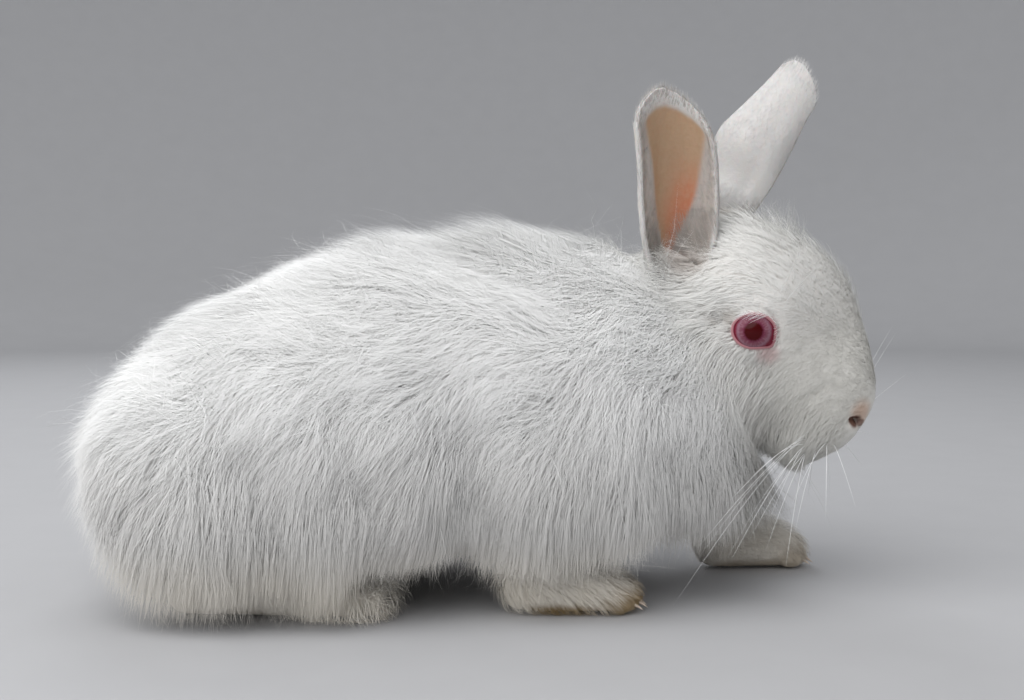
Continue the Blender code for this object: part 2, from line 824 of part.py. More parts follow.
def build():
    clear_scene()
    rabbit, cutters = collection("angora_rabbit"), collection("cutters")

    paws = {
        "foreleg_right": paw("foreleg_right", (FOREPAW_RIGHT, FORELEG_RIGHT), rabbit),
        "foreleg_left": paw("foreleg_left", (FOREPAW_LEFT, FORELEG_LEFT), rabbit),
        "hind_foot_left": paw("hind_foot_left", (HIND_FOOT,), rabbit),
        "hind_foot_right": paw("hind_foot_right", (mirrored(HIND_FOOT),), rabbit),
    }
    paw_rooms = [grown(obj, GAP, cutters) for obj in paws.values()]

    eyes = {"eye_right": eye("eye_right", -1, rabbit), "eye_left": eye("eye_left", 1, rabbit)}
    skull = head(rabbit)
    lids = collection("lids")
    for side in (-1, 1):
        lid(side, lids)
    fuse(skull, lids)
    head_room = grown(skull, GAP, cutters)
    nose_and_mouth(skull, cutters)
    for obj in eyes.values():
        boolean(skull, grown(obj, GAP, cutters), "DIFFERENCE")
    boolean(skull, throat_block("behind_throat", cutters, -1), "DIFFERENCE")
    keep_largest(skull)

    ears = {
        "ear_right": ear("ear_right", **EAR_RIGHT, where=rabbit),
        "ear_left": ear("ear_left", **EAR_LEFT, where=rabbit),
    }
    for obj in ears.values():
        boolean(obj, head_room, "DIFFERENCE")
        keep_largest(obj)

    ear_rooms = [
        ear_room("ear_right_room", **EAR_RIGHT, where=cutters),
        ear_room("ear_left_room", **EAR_LEFT, where=cutters),
    ]

    coat = coated("coat", TRUNK, cutters)
    coats = {name: link(name, coat.data.copy(), rabbit) for name in COAT_NODES}
    coats["tail"] = coated("tail", TAIL, rabbit)
    boolean(coats["neck"], throat_block("ahead_of_throat", cutters, 1), "DIFFERENCE", "MANIFOLD")
    boolean(coats["neck"], ruff_cone("ruff_inside", cutters, HALF_GAP), "DIFFERENCE", "MANIFOLD")
    boolean(coats["torso"], ruff_cone("ruff_outside", cutters, -HALF_GAP), "INTERSECT", "MANIFOLD")
    for name, operation, shift in (("tail", "INTERSECT", -HALF_GAP), ("torso", "DIFFERENCE", HALF_GAP)):
        radii = [r + shift for r in TAIL_ROOM_RADII]
        room = ellipsoid("tail_room_" + name, TAIL_ROOM_AT, radii, cutters)
        boolean(coats[name], room, operation, "MANIFOLD")
    for name, side in (("haunch_left", 1), ("haunch_right", -1)):
        room = haunch_block(name + "_room", cutters, side, HALF_GAP)
        inside = haunch_block(name + "_inside", cutters, side, -HALF_GAP)
        boolean(coats["torso"], room, "DIFFERENCE", "MANIFOLD")
        boolean(coats[name], inside, "INTERSECT", "MANIFOLD")
    for obj in coats.values():
        for room in (*paw_rooms, *ear_rooms):
            boolean(obj, room, "DIFFERENCE", "MANIFOLD")
        keep_largest(obj)

    for obj in (skull, *coats.values()):
        finish(obj, "wool" if obj is not skull else "fur")
    for obj in ears.values():
        finish(obj, "ear")
    for obj in eyes.values():
        finish(obj, "eye")
    for obj in paws.values():
        finish(obj, "paw")
    settle(list(rabbit.objects))
    for cutter in cutters.objects:
        cutter.hide_render = True
        cutter.display_type = "WIRE"


build()
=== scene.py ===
"""A young white angora rabbit: one skin under its wool and fur, with eyes, claws and whiskers."""

import math

import bpy
import numpy as np
from mathutils import Matrix, Vector
from mathutils.bvhtree import BVHTree
from mathutils.kdtree import KDTree


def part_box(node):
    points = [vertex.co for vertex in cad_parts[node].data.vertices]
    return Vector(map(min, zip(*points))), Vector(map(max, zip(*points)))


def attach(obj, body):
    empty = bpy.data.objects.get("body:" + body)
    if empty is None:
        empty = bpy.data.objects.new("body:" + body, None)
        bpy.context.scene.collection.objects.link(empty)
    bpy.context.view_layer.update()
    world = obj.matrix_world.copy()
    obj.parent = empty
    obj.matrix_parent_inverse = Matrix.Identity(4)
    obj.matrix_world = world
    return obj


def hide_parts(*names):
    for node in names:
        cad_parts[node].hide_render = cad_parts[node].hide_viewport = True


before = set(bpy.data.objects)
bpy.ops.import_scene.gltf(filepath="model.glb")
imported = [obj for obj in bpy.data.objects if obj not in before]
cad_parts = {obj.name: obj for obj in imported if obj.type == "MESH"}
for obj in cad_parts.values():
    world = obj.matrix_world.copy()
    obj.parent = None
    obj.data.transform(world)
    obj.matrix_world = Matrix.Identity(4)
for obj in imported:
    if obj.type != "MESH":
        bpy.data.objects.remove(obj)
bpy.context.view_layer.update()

MM = 0.001
HEAD_AT = np.array((81.0, -3.0, 88.0))
HEAD_PITCH = math.radians(40)
HEAD_YAW = math.radians(-12)


def middle_of(node):
    low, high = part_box(node)
    return (low + high) / 2


# The plan is in millimetres. SHIFT takes it to the frame, by the middle between the eyes.
SHIFT = np.array((middle_of("eye_left") + middle_of("eye_right")) / 2) - HEAD_AT * MM


def placed(points):
    return np.asarray(points, float) * MM + SHIFT


def in_plan(points):
    return (np.asarray(points, float) - SHIFT) / MM


def unit(vectors):
    return vectors / np.maximum(np.linalg.norm(vectors, axis=-1, keepdims=True), 1e-9)


def step(low, high, value):
    """Zero below low, one above high, and a smooth rise between."""
    t = np.clip((value - low) / (high - low), 0, 1)
    return t * t * (3 - 2 * t)


def bell(points, centre, radius):
    """One at a centre, fading to nothing within about two radii of it. The radius may differ by axis."""
    return np.exp(-(((points - np.asarray(centre, float)) / np.asarray(radius, float)) ** 2).sum(-1))


def spline(table, share):
    """Rows of a table at shares of its length, on a smooth curve through the rows."""
    table = np.asarray(table, float)
    place = np.clip(share, 0, 1) * (len(table) - 1)
    i = np.minimum(place.astype(int), len(table) - 2)
    t = (place - i)[..., None]
    a, b, c, d = (table[np.clip(i + k, 0, len(table) - 1)] for k in (-1, 0, 1, 2))
    bend, twist = 2 * a - 5 * b + 4 * c - d, 3 * b - a - 3 * c + d
    return 0.5 * (2 * b + (c - a) * t + bend * t**2 + twist * t**3)


def rounded(angle, half_width, up, down, power_up, power_down):
    """Points of a rounded section: across, and up or down."""
    c, s = np.cos(angle), np.sin(angle)
    power = np.where(s < 0, power_down, power_up)
    across = half_width * np.sign(c) * np.abs(c) ** (2 / power)
    height = np.where(s > 0, up, down) * np.sign(s) * np.abs(s) ** (2 / power)
    return across, height


# Body sections: x, low, high, half width.
TRUNK = (
    (73, 52, 52, 0.5),
    (72, 42, 62, 10),
    (68, 33, 82, 24),
    (57, 27, 97, 32),
    (36, 23, 106, 39),
    (10, 20, 108, 44),
    (-20, 17, 108, 47),
    (-50, 15, 107, 52),
    (-79, 14, 97, 55),
    (-102, 14, 84, 51),
    (-117, 17, 70, 40),
    (-127, 24, 57, 26),
    (-131, 33, 47, 10),
    (-131.5, 40, 40, 0.5),
)
TAIL = (
    (-112, 45, 45, 0.5),
    (-117, 36, 58, 9),
    (-122, 30, 62, 11),
    (-131, 28, 62, 11.5),
    (-138, 31, 58, 9),
    (-142, 38, 52, 5),
    (-143, 45, 45, 0.5),
)
# Head sections in its own frame: along the face, low, high, half width.
HEAD = (
    (-44, 2, 2, 0.5),
    (-43, -8, 12, 9),
    (-38, -19, 21, 18),
    (-29, -27, 26, 24),
    (-18, -31, 30, 27),
    (-8, -33, 32, 27.5),
    (3, -34, 33, 26),
    (14, -32.5, 30.5, 23),
    (23, -30.5, 25, 20),
    (31, -29, 20, 17),
    (37.5, -27, 15, 14.5),
    (42.5, -22.5, 10.5, 11.5),
    (45.8, -16, 6.5, 8),
    (47.4, -10, 2.5, 4.5),
    (47.8, -4, -4, 0.5),
)
HEAD_WAIST = 0.42
HEAD_POWER = 2.25
# Swellings and hollows of the face, on both sides: place, radii, height.
FACE_FORMS = (
    ((1, 21, 12), (9, 8, 6), 1.8),
    ((-9, 25, -3), (9, 6, 5), -1.6),
    ((10, 22, -5), (6, 6, 6), -1.3),
    ((-10, 25, -15), (12, 12, 10), 2.2),
    ((6, 22, -20), (10, 8, 8), 1.0),
    ((37, 13, -10), (7, 7, 8), 2.2),
    ((32, 13, -19), (6, 6, 6), 1.2),
    ((20, 15, 13), (10, 6, 7), -1.2),
    ((38, 0, -26), (6, 8, 4), 1.2),
    ((47, 0, 3), (5, 8, 7), -1.1),
    ((-33, 16, 9), (10, 12, 13), -12.5),
)
# Creases of the face, on both sides: points, half width, depth.
FACE_CREASES = (
    (((29, 16.8, 0), (26.6, 18.4, -7), (25.4, 18.4, -13), (25.6, 16, -20)), 1.6, 0.9),
    (((-8, 26.8, -1.6), (-13, 27.3, -8.5), (-18, 27.3, -14)), 2.6, 3.0),
    (((48, 0, -2), (48.5, 0, -8), (48, 0, -13)), 0.9, 1.6),
    (((48, 0, -13), (46, 3.5, -16), (42, 7.5, -20), (36, 10.5, -23.5), (30, 12, -26)), 1.0, 1.5),
    (((42.8, 11.2, -2.4), (44.0, 9.6, -1.6), (45.0, 8.2, -1.5)), 1.2, 2.3),
    (((45.0, 8.2, -1.5), (46.6, 5.6, -3.2), (47.6, 2.5, -4.5)), 0.7, 0.9),
)
EYE = np.array((0.0, 20.0, 0.0))
EYE_RADIUS = 8.0
EYE_OPENING = (6.3, 5.0)
LID_RIM = 0.5
NOSTRIL = np.array((43.4, 10.0, -1.9))
EYE_TILT = math.radians(-38)
TEAR_ANGLE = math.radians(-38)

# An ear along its length: share of the length, half width, half angle of its curl in degrees.
EAR = (
    (0.0, 6.0, 150),
    (0.12, 8.2, 118),
    (0.20, 9.8, 100),
    (0.28, 11.2, 86),
    (0.38, 12.4, 74),
    (0.55, 13.1, 62),
    (0.75, 13.1, 54),
    (1.0, 12.9, 46),
)
EAR_LENGTH = 71.0
# The upper edge of an ear: place across it, how far below the tip.
EAR_TOP = (
    (-1.0, -19.0),
    (-0.9, -13.5),
    (-0.75, -9.4),
    (-0.5, -5.2),
    (-0.2, -1.8),
    (0.1, 0.0),
    (0.35, -0.9),
    (0.6, -3.6),
    (0.8, -6.6),
    (0.92, -9.0),
    (1.0, -12.5),
)
# The bare skin in an ear: share of the length, and its two borders across it.
EAR_BARE = (
    (0.22, 0.14, 0.0),
    (0.32, 0.32, -0.22),
    (0.42, 0.46, -0.46),
    (0.53, 0.56, -0.64),
    (0.66, 0.62, -0.70),
    (0.80, 0.74, -0.80),
    (0.95, 0.80, -0.86),
)
# Each ear: its root, the way it points, the way its cup opens, how much more its edges curl, and how much
# narrower it is at the top.
EARS = {
    "right": {
        "root": (54.5, -16, 94),
        "along": (-0.04, -0.06, 0.99),
        "opens": (0.25, -0.97, 0),
        "roll": 1.0,
        "slim": 0.0,
    },
    "left": {
        "root": (66.5, 11, 113),
        "along": (0.445, 0.12, 0.89),
        "opens": (0.72, 0.62, -0.3),
        "roll": 1.7,
        "slim": 0.2,
    },
}

# Legs and feet: x, y, z of the middle, half width, half height.
LIMBS = {
    "foreleg_right": ((2, -29, 42, 9, 11), (5, -30, 30, 8, 10), (8, -31, 18, 7, 9), (12, -31, 9, 6, 7)),
    "foreleg_left": ((40, 28, 44, 9.5, 10), (52, 29, 32, 8, 9), (64, 31, 21, 7, 8), (76, 32, 13, 6.5, 7)),
    "forepaw_right": (
        (-3, -31, 7.2, 4, 4.5),
        (3, -31, 7.4, 6.8, 6.6),
        (16, -31, 7.6, 7.6, 7.2),
        (27, -31, 6.6, 7.8, 6.2),
        (35, -31, 5.2, 7.4, 4.9),
        (39, -31, 4.2, 5, 3.2),
    ),
    "forepaw_left": (
        (65, 31, 8, 4.5, 5),
        (71, 31, 8.8, 7, 8),
        (84, 32, 8.8, 8.2, 8.2),
        (95, 33, 7.4, 7.8, 7.0),
        (101.0, 33.5, 5.4, 6.6, 5.2),
        (104, 33.5, 4.2, 4, 3.2),
    ),
    "hind_foot_left": (
        (-108, 34, 7.5, 4, 5),
        (-102, 34, 8.4, 7.5, 7.8),
        (-84, 35, 7.4, 8, 7),
        (-62, 36, 6.2, 8.3, 5.8),
        (-46, 37, 5.2, 8, 4.9),
        (-40, 37, 4.2, 5.4, 3.2),
    ),
}
LIMBS["hind_foot_right"] = tuple((x, -y, *rest) for x, y, *rest in LIMBS["hind_foot_left"])
TOES = (-5.2, -1.8, 1.8, 5.2)

# How low the coat hangs: x, height of the tips over the floor.
HEM = (
    (-150, 48),
    (-138, 40),
    (-127, 28),
    (-122, 17),
    (-113, 8),
    (-105, 4),
    (-76, 3),
    (-38, 3),
    (-29, 11),
    (-3, 16),
    (30, 15),
    (50, 17),
    (80, 26),
)


def head_matrix():
    turn = Matrix.Rotation(HEAD_YAW, 4, "Z") @ Matrix.Rotation(HEAD_PITCH, 4, "Y")
    return Matrix.Translation(HEAD_AT) @ turn


HEAD_TURN = np.array(head_matrix().to_3x3())


def from_head(points):
    return np.asarray(points, float) @ HEAD_TURN.T + HEAD_AT


def to_head(points):
    return (np.asarray(points, float) - HEAD_AT) @ HEAD_TURN


def trunk_surface(share, angle, table=TRUNK):
    x, low, high, half_width = spline(table, share).T
    waist = low + (high - low) * 0.44
    across, height = rounded(angle, half_width, high - waist, waist - low, 2.2, 2.9)
    return np.stack((x, across, waist + height), -1)


def limb_surface(share, angle, table):
    """Points on a limb: share runs along its rows of places and half sizes, angle goes round it."""
    rows = spline(table, share)
    ahead, behind = np.minimum(share + 0.01, 1), np.maximum(share - 0.01, 0)
    along = (spline(table, ahead) - spline(table, behind))[:, :3]
    end = np.sqrt(np.clip(np.minimum(share, 1 - share) * 14, 0, 1))
    up = unit(np.cross(unit(along), (0, 1, 0)))
    across, height = rounded(angle, rows[:, 3] * end, rows[:, 4] * end, rows[:, 4] * end, 2.4, 2.4)
    points = rows[:, :3] + across[:, None] * (0, 1, 0) + height[:, None] * up
    points[:, 2] = np.maximum(points[:, 2], 0.3)
    return points


def to_line(points, line):
    """The distance of points from a line through a few places."""
    line = np.asarray(line, float)
    best = np.full(len(points), 1e9)
    for a, b in zip(line, line[1:]):
        t = np.clip((points - a) @ (b - a) / ((b - a) @ (b - a)), 0, 1)
        best = np.minimum(best, np.linalg.norm(points - (a + t[:, None] * (b - a)), axis=1))
    return best


def face_fur(p):
    """The length of the fur at points of the head's frame."""
    x, z = p[:, 0], p[:, 2]
    y = np.abs(p[:, 1])
    length = 2.4 + 2.4 * step(30, 5, x) + 1.4 * step(-2, -16, x)
    length += 18 * step(30, 4, x) * step(0, -18, z)
    length += 5.5 * step(2, -18, x) * step(10, -8, z)
    length += 5.0 * step(-12, -22, z) * step(46, 34, x)
    length += 6.5 * bell(np.stack((x, y, z), -1), (34, 14, -15), (8, 9, 9))
    length *= 1 - 0.45 * step(38, 46, x)
    eye = EYE * np.where(p[:, 1:2] < 0, (1, -1, 1), 1)
    near_eye = np.linalg.norm((p - eye) / (1.15, 1, 1), axis=1)
    return length * (0.5 + 0.5 * step(8.0, 15, near_eye))


def eye_plane(p, side):
    """Where points are in the plane of one eye's opening, and how far out of the eye's middle."""
    q = (p - EYE * (1, side, 1)) * (1, side, 1)
    c, s = math.cos(EYE_TILT), math.sin(EYE_TILT)
    return q[:, 0] * c - q[:, 2] * s, q[:, 0] * s + q[:, 2] * c, q[:, 1]


def lid_reach(angle):
    """How far the middle of the lid's rim is from the eye's middle: an oval, drawn out at the tear corner."""
    wide, high = EYE_OPENING[0] + LID_RIM, EYE_OPENING[1] + LID_RIM
    oval = 1 / np.sqrt((np.cos(angle) / wide) ** 2 + (np.sin(angle) / high) ** 2)
    off = np.abs((angle - TEAR_ANGLE + math.pi) % (2 * math.pi) - math.pi)
    return oval * (1 + 0.17 * np.exp(-((off / 0.30) ** 2)))


def lid_ratio(u, v):
    return np.hypot(u, v) / lid_reach(np.arctan2(v, u))


def face_shape(p, normal):
    """Sinks the head by the depth of its fur, and gives it its forms, creases and lids."""
    mirrored = p * (1, 0, 1) + np.abs(p[:, 1:2]) * (0, 1, 0)
    rise = -0.42 * np.minimum(face_fur(p), 8)
    for centre, radii, height in FACE_FORMS:
        rise += height * bell(mirrored, centre, radii)
    for line, width, depth in FACE_CREASES:
        rise -= depth * np.exp(-((to_line(mirrored, line) / width) ** 2))
    p = p + normal * rise[:, None]
    for side in (-1, 1):
        u, v, out = eye_plane(p, side)
        facing = out > 0
        ratio = lid_ratio(u, v)
        ball = np.sqrt(np.clip(EYE_RADIUS**2 - u**2 - v**2, 4, None))
        inside = ball - 2.0 * step(1.0, 0.85, ratio) - 1.0
        lids = np.where(ratio < 1, inside, ball + 0.5 + 1.6 * (ratio - 1))
        share = np.where(facing, step(1.6, 1.1, ratio), 0)
        p[:, 1] = np.where(facing, side * (EYE[1] + out + (lids - out) * share), p[:, 1])
    return p


def head_surface(share, angle):
    """Points on the head, with the swellings and hollows of the face laid on."""

    def plain(share, angle):
        x, low, high, half_width = spline(HEAD, share).T
        waist = low + (high - low) * HEAD_WAIST
        across, height = rounded(angle, half_width, high - waist, waist - low, HEAD_POWER, HEAD_POWER)
        return np.stack((x, across, waist + height), -1)

    small = 0.004
    inner = np.clip(share, 0.012, 0.988)
    along = plain(inner + small, angle) - plain(inner - small, angle)
    around = plain(inner, angle + small) - plain(inner, angle - small)
    normal = unit(np.cross(around, along))
    return from_head(face_shape(plain(share, angle), normal))


def clear_selection():
    if bpy.context.object and bpy.context.object.mode != "OBJECT":
        bpy.ops.object.mode_set(mode="OBJECT")
    bpy.ops.object.select_all(action="DESELECT")


def only(obj):
    clear_selection()
    obj.select_set(True)
    bpy.context.view_layer.objects.active = obj
    return obj


def edit(obj, *steps):
    """Runs edit-mode steps on all of a piece."""
    only(obj)
    bpy.ops.object.mode_set(mode="EDIT")
    bpy.ops.mesh.select_all(action="SELECT")
    for made in steps:
        made()
    bpy.ops.object.mode_set(mode="OBJECT")


def apply(obj, kind, **settings):
    modifier = obj.modifiers.new(kind.title(), kind)
    for key, value in settings.items():
        setattr(modifier, key, value)
    only(obj)
    bpy.ops.object.modifier_apply(modifier=modifier.name)


def coordinates(obj):
    points = np.empty(len(obj.data.vertices) * 3)
    obj.data.vertices.foreach_get("co", points)
    return points.reshape(-1, 3)


def move_to(obj, points):
    obj.data.vertices.foreach_set("co", np.asarray(points, np.float32).ravel())
    obj.data.update()


def modelled(name, surface, sides, rings):
    """A ball whose poles become the front and back end of a form, with its points drawn onto the form."""
    clear_selection()
    bpy.ops.mesh.primitive_uv_sphere_add(segments=sides, ring_count=rings, radius=1)
    obj = bpy.context.object
    obj.name = name
    x, y, z = coordinates(obj).T
    share = np.arccos(np.clip(z, -1, 1)) / math.pi
    move_to(obj, placed(surface(share, np.arctan2(y, x))))
    edit(obj, lambda: bpy.ops.mesh.normals_make_consistent(inside=False))
    return obj


def ear_axes(along, opens):
    z_axis = unit(np.array(along, float))
    y_axis = np.array(opens, float)
    y_axis = unit(y_axis - z_axis * (y_axis @ z_axis))
    return z_axis, y_axis, np.cross(y_axis, z_axis)


def ear_size(side, share):
    """Half width, half angle of the curl and its radius at shares of an ear's length."""
    table = np.array(EAR, float)
    half_width = np.interp(share, table[:, 0], table[:, 1]) * (1 - EARS[side]["slim"] * step(0.5, 1.0, share))
    curl = np.radians(np.interp(share, table[:, 0], table[:, 2]))
    curl = curl * (1 + (EARS[side]["roll"] - 1) * step(0.3, 0.6, share))
    return half_width, curl, half_width / np.sin(np.minimum(curl, math.pi / 2))


def ear_top(across):
    table = np.array(EAR_TOP, float)
    return np.interp(across, table[:, 0], table[:, 1])


def ear_point(side, share, across, lift=0.0):
    """A point of an ear's sheet: a share of its length, and from -1 to 1 across it."""
    plan = EARS[side]
    z_axis, y_axis, x_axis = ear_axes(plan["along"], plan["opens"])
    _, curl, radius = ear_size(side, share)
    a = curl * across
    depth = radius * (np.cos(curl) - np.cos(a)) + 3.0 * share**2
    fold = np.exp(-(((across - 0.55) / 0.16) ** 2)) + 0.7 * np.exp(-(((across + 0.5) / 0.13) ** 2))
    depth = depth + fold * 0.9 * step(0.1, 0.3, share) * step(0.95, 0.6, share) + lift
    sideways = radius * np.sin(a) + 2.0 * share**5
    points = np.array(plan["root"], float) + sideways[:, None] * x_axis
    reach = share * (EAR_LENGTH + ear_top(across) * share)
    return points + depth[:, None] * y_axis + reach[:, None] * z_axis


def ear_place(side, p, out):
    """For points near an ear: share of its length, place across, and whether they face into its cup."""
    plan = EARS[side]
    z_axis, y_axis, x_axis = ear_axes(plan["along"], plan["opens"])
    q = p - np.array(plan["root"], float)
    reach = q @ z_axis
    share = np.clip(reach / EAR_LENGTH, 0, 1)
    for _ in range(3):
        _, curl, radius = ear_size(side, share)
        wide = (q @ x_axis - 2.0 * share**5) / radius
        deep = np.cos(curl) - (q @ y_axis - 3.0 * share**2) / radius
        a = np.arctan2(wide, deep)
        share = np.clip(reach / (EAR_LENGTH + ear_top(np.clip(a / curl, -1, 1)) * share), 0, 1)
    inward = np.cos(a)[:, None] * y_axis - np.sin(a)[:, None] * x_axis
    return share, a / curl, (out * inward).sum(1) > 0.1


def ear_bare(side, share, across):
    """One on the bare skin of the cup, zero on its furred edges, and how warm the colour is there, a painted
    glow of light shining through the ear.
    """
    _, curl, _ = ear_size(side, share)
    wide = np.sin(across * curl) / np.sin(np.minimum(curl, math.pi / 2))
    table = np.array(EAR_BARE, float)
    near = np.linspace(-0.09, 0.09, 11)[:, None] + share
    left = np.interp(near, table[:, 0], table[:, 1]).mean(0)
    right = np.interp(near, table[:, 0], table[:, 2]).mean(0)
    bare = step(-0.12, 0.16, left - wide) * step(-0.12, 0.16, wide - right)
    bare *= step(0.20, 0.30, share) * step(0.945, 0.89, share)
    warm = step(0.92, 0.3, share) * (0.3 + 0.7 * step(0.45, -0.5, wide))
    return bare, warm


def near_ear(side, p):
    """Whether points of the ears belong to this ear and not to the other."""
    root = {name: np.array(EARS[name]["root"], float) for name in EARS}
    aim = {name: unit(np.array(EARS[name]["along"], float)) for name in EARS}
    gap = {}
    for name in EARS:
        q = p - root[name]
        gap[name] = np.linalg.norm(q - (q @ aim[name])[:, None] * aim[name], axis=1)
    return gap[side] <= gap["left" if side == "right" else "right"]


def ear(side):
    """A curled sheet, a tube at its root and an open cup above, with a wall to it."""
    clear_selection()
    bpy.ops.mesh.primitive_grid_add(x_subdivisions=52, y_subdivisions=80, size=2)
    obj = bpy.context.object
    obj.name = "ear_" + side
    x, y, _ = coordinates(obj).T
    share = 1 - (1 - (y + 1) / 2) ** 1.3
    move_to(obj, placed(ear_point(side, share, x)))
    apply(obj, "SOLIDIFY", thickness=1.7 * MM, offset=0.0)
    edit(obj, lambda: bpy.ops.mesh.normals_make_consistent(inside=False))
    return obj


def lid_rim(side):
    """The moist rim of the lids: a fleshy ring that lies on the ball of the eye."""
    clear_selection()
    bpy.ops.mesh.primitive_torus_add(major_segments=96, minor_segments=14, major_radius=1, minor_radius=0.25)
    obj = bpy.context.object
    obj.name = "lid_rim"
    x, y, z = coordinates(obj).T
    angle = np.arctan2(y, x)
    across, up = (np.hypot(x, y) - 1) / 0.25, z / 0.25
    reach = lid_reach(angle)
    ball = np.sqrt(EYE_RADIUS**2 - np.minimum(reach, EYE_RADIUS * 0.97) ** 2)
    reach = reach + across * LID_RIM
    u, v, out = reach * np.cos(angle), reach * np.sin(angle), ball + 0.35 + up * LID_RIM * 0.9 - across * 0.35
    c, s = math.cos(EYE_TILT), math.sin(EYE_TILT)
    local = np.stack((u * c + v * s, EYE[1] + out, v * c - u * s), -1) * (1, side, 1)
    move_to(obj, placed(from_head(local)))
    edit(obj, lambda: bpy.ops.mesh.normals_make_consistent(inside=False))
    return obj


def toe(name, at, radii):
    clear_selection()
    bpy.ops.mesh.primitive_uv_sphere_add(segments=16, ring_count=10, radius=1)
    obj = bpy.context.object
    obj.name = name
    move_to(obj, placed(coordinates(obj) * radii + at))
    return obj


def toe_lead(k):
    """How far each toe's middle is ahead of the last full section of its paw."""
    return -1.4 if k in (0, 3) else 0.3


SKIN_PARTS = ("body", "head", "ear", "paw")


def skin(finishes):
    """All the flesh joined to one closed skin. Each face keeps the finish of its part."""
    forms = [
        (modelled("skin", trunk_surface, 96, 72), "body"),
        (modelled("tail", lambda s, a: trunk_surface(s, a, TAIL), 32, 24), "body"),
        (modelled("head", head_surface, 200, 190), "head"),
        (ear("right"), "ear"),
        (ear("left"), "ear"),
        (lid_rim(-1), "head"),
        (lid_rim(1), "head"),
    ]
    for name, table in LIMBS.items():
        made = modelled(name, lambda s, a, table=table: limb_surface(s, a, table), 32, 32)
        forms.append((made, "paw"))
        if "leg" in name:
            continue
        x, y = table[-2][:2]
        for k, offset in enumerate(TOES):
            ahead = toe_lead(k)
            forms.append((toe(f"{name}_toe_{k}", (x + ahead, y + offset, 3.9), (4.8, 2.2, 3.3)), "paw"))
    for obj, part in forms:
        obj.data.materials.clear()
        for name in SKIN_PARTS:
            obj.data.materials.append(finishes[name])
        obj.data.polygons.foreach_set("material_index", [SKIN_PARTS.index(part)] * len(obj.data.polygons))
    whole = forms[0][0]
    others = bpy.data.collections.new("forms")
    for obj, _ in forms[1:]:
        others.objects.link(obj)
    modifier = whole.modifiers.new("Join", "BOOLEAN")
    modifier.operation = "UNION"
    modifier.solver = "MANIFOLD"
    modifier.operand_type = "COLLECTION"
    modifier.collection = others
    only(whole)
    bpy.ops.object.modifier_apply(modifier=modifier.name)
    for obj, _ in forms[1:]:
        bpy.data.objects.remove(obj)
    bpy.data.collections.remove(others)
    while whole.data.uv_layers:
        whole.data.uv_layers.remove(whole.data.uv_layers[0])
    whole.data.uv_layers.new(name="OFBake")
    edit(
        whole,
        lambda: bpy.ops.mesh.quads_convert_to_tris(),
        lambda: bpy.ops.uv.smart_project(angle_limit=math.radians(66), island_margin=0.002),
    )
    only(whole)
    bpy.ops.object.shade_smooth()
    marked(whole)
    return whole


def marked(obj):
    """Keeps on the skin where the ears' cups are bare and how warm their painted glow is, where the furred
    bands inside the cups take painted shade, and where the lids' rims are.
    """
    p = in_plan(coordinates(obj))
    out = np.empty(len(obj.data.vertices) * 3)
    obj.data.vertices.foreach_get("normal", out)
    bare, warm, cup = np.zeros(len(p)), np.zeros(len(p)), np.zeros(len(p))
    for side in EARS:
        share, across, inner = ear_place(side, p, out.reshape(-1, 3))
        own_bare, own_warm = ear_bare(side, share, across)
        own = near_ear(side, p) & inner
        bare, warm = np.where(own, own_bare, bare), np.where(own, own_warm, warm)
        # Painted shade: marks the furred bands inside each cup, which are coloured darker.
        cup = np.where(own, step(1.0, 0.88, np.abs(across)) * step(0.97, 0.9, share), cup)
    lid = np.zeros(len(p))
    for side in (-1, 1):
        u, v, away = eye_plane(to_head(p), side)
        lid = np.maximum(lid, step(1.22, 0.98, lid_ratio(u, v)) * (away > 0))
    for name, values in (("bare", bare), ("warm", warm), ("cup", cup), ("lid", lid)):
        obj.data.attributes.new(name, "FLOAT", "POINT").data.foreach_set("value", values.astype(np.float32))


class Field:
    """How far points are from the skin, and which way is out, from a coarse grid round the animal."""

    SPACING = 3.0
    MARGIN = 36.0

    def __init__(self, obj):
        tree = BVHTree.FromObject(obj, bpy.context.evaluated_depsgraph_get())
        points = in_plan(coordinates(obj))
        self.low = points.min(0) - self.MARGIN
        self.shape = np.ceil((points.max(0) + self.MARGIN - self.low) / self.SPACING).astype(int) + 1
        axes = [self.low[k] + self.SPACING * np.arange(self.shape[k]) for k in range(3)]
        grid = placed(np.stack(np.meshgrid(*axes, indexing="ij"), -1).reshape(-1, 3))
        distance = np.empty(len(grid))
        for k, point in enumerate(grid):
            place, normal, _, gap = tree.find_nearest(point)
            distance[k] = gap if (Vector(point) - place).dot(normal) > 0 else -gap
        distance = (distance / MM).reshape(self.shape)
        for _ in range(2):
            for axis in range(3):
                ahead, behind = np.roll(distance, -1, axis), np.roll(distance, 1, axis)
                distance = 0.5 * distance + 0.25 * (ahead + behind)
        slopes = np.gradient(distance, self.SPACING)
        self.values = np.stack((distance, *slopes), -1)

    def at(self, points):
        place = (points - self.low) / self.SPACING
        place = np.clip(place, 0, self.shape - 1.001)
        i = place.astype(int)
        t = place - i
        total = 0.0
        for corner in np.ndindex(2, 2, 2):
            weight = np.prod(np.where(corner, t, 1 - t), axis=-1)
            total = total + self.values[tuple((i + corner).T)] * weight[:, None]
        return total[:, 0], unit(total[:, 1:])


class Waves:
    """A smooth wandering vector at each place, the same each time."""

    def __init__(self, seed, size, count=7):
        rng = np.random.default_rng(seed)
        self.turns = rng.normal(size=(count, 3)) * 2 * math.pi / size / 1.7
        self.starts = rng.uniform(0, 2 * math.pi, count)
        self.pushes = rng.normal(size=(count, 3)) / math.sqrt(count) * 1.4

    def at(self, points):
        return np.sin(points @ self.turns.T + self.starts) @ self.pushes


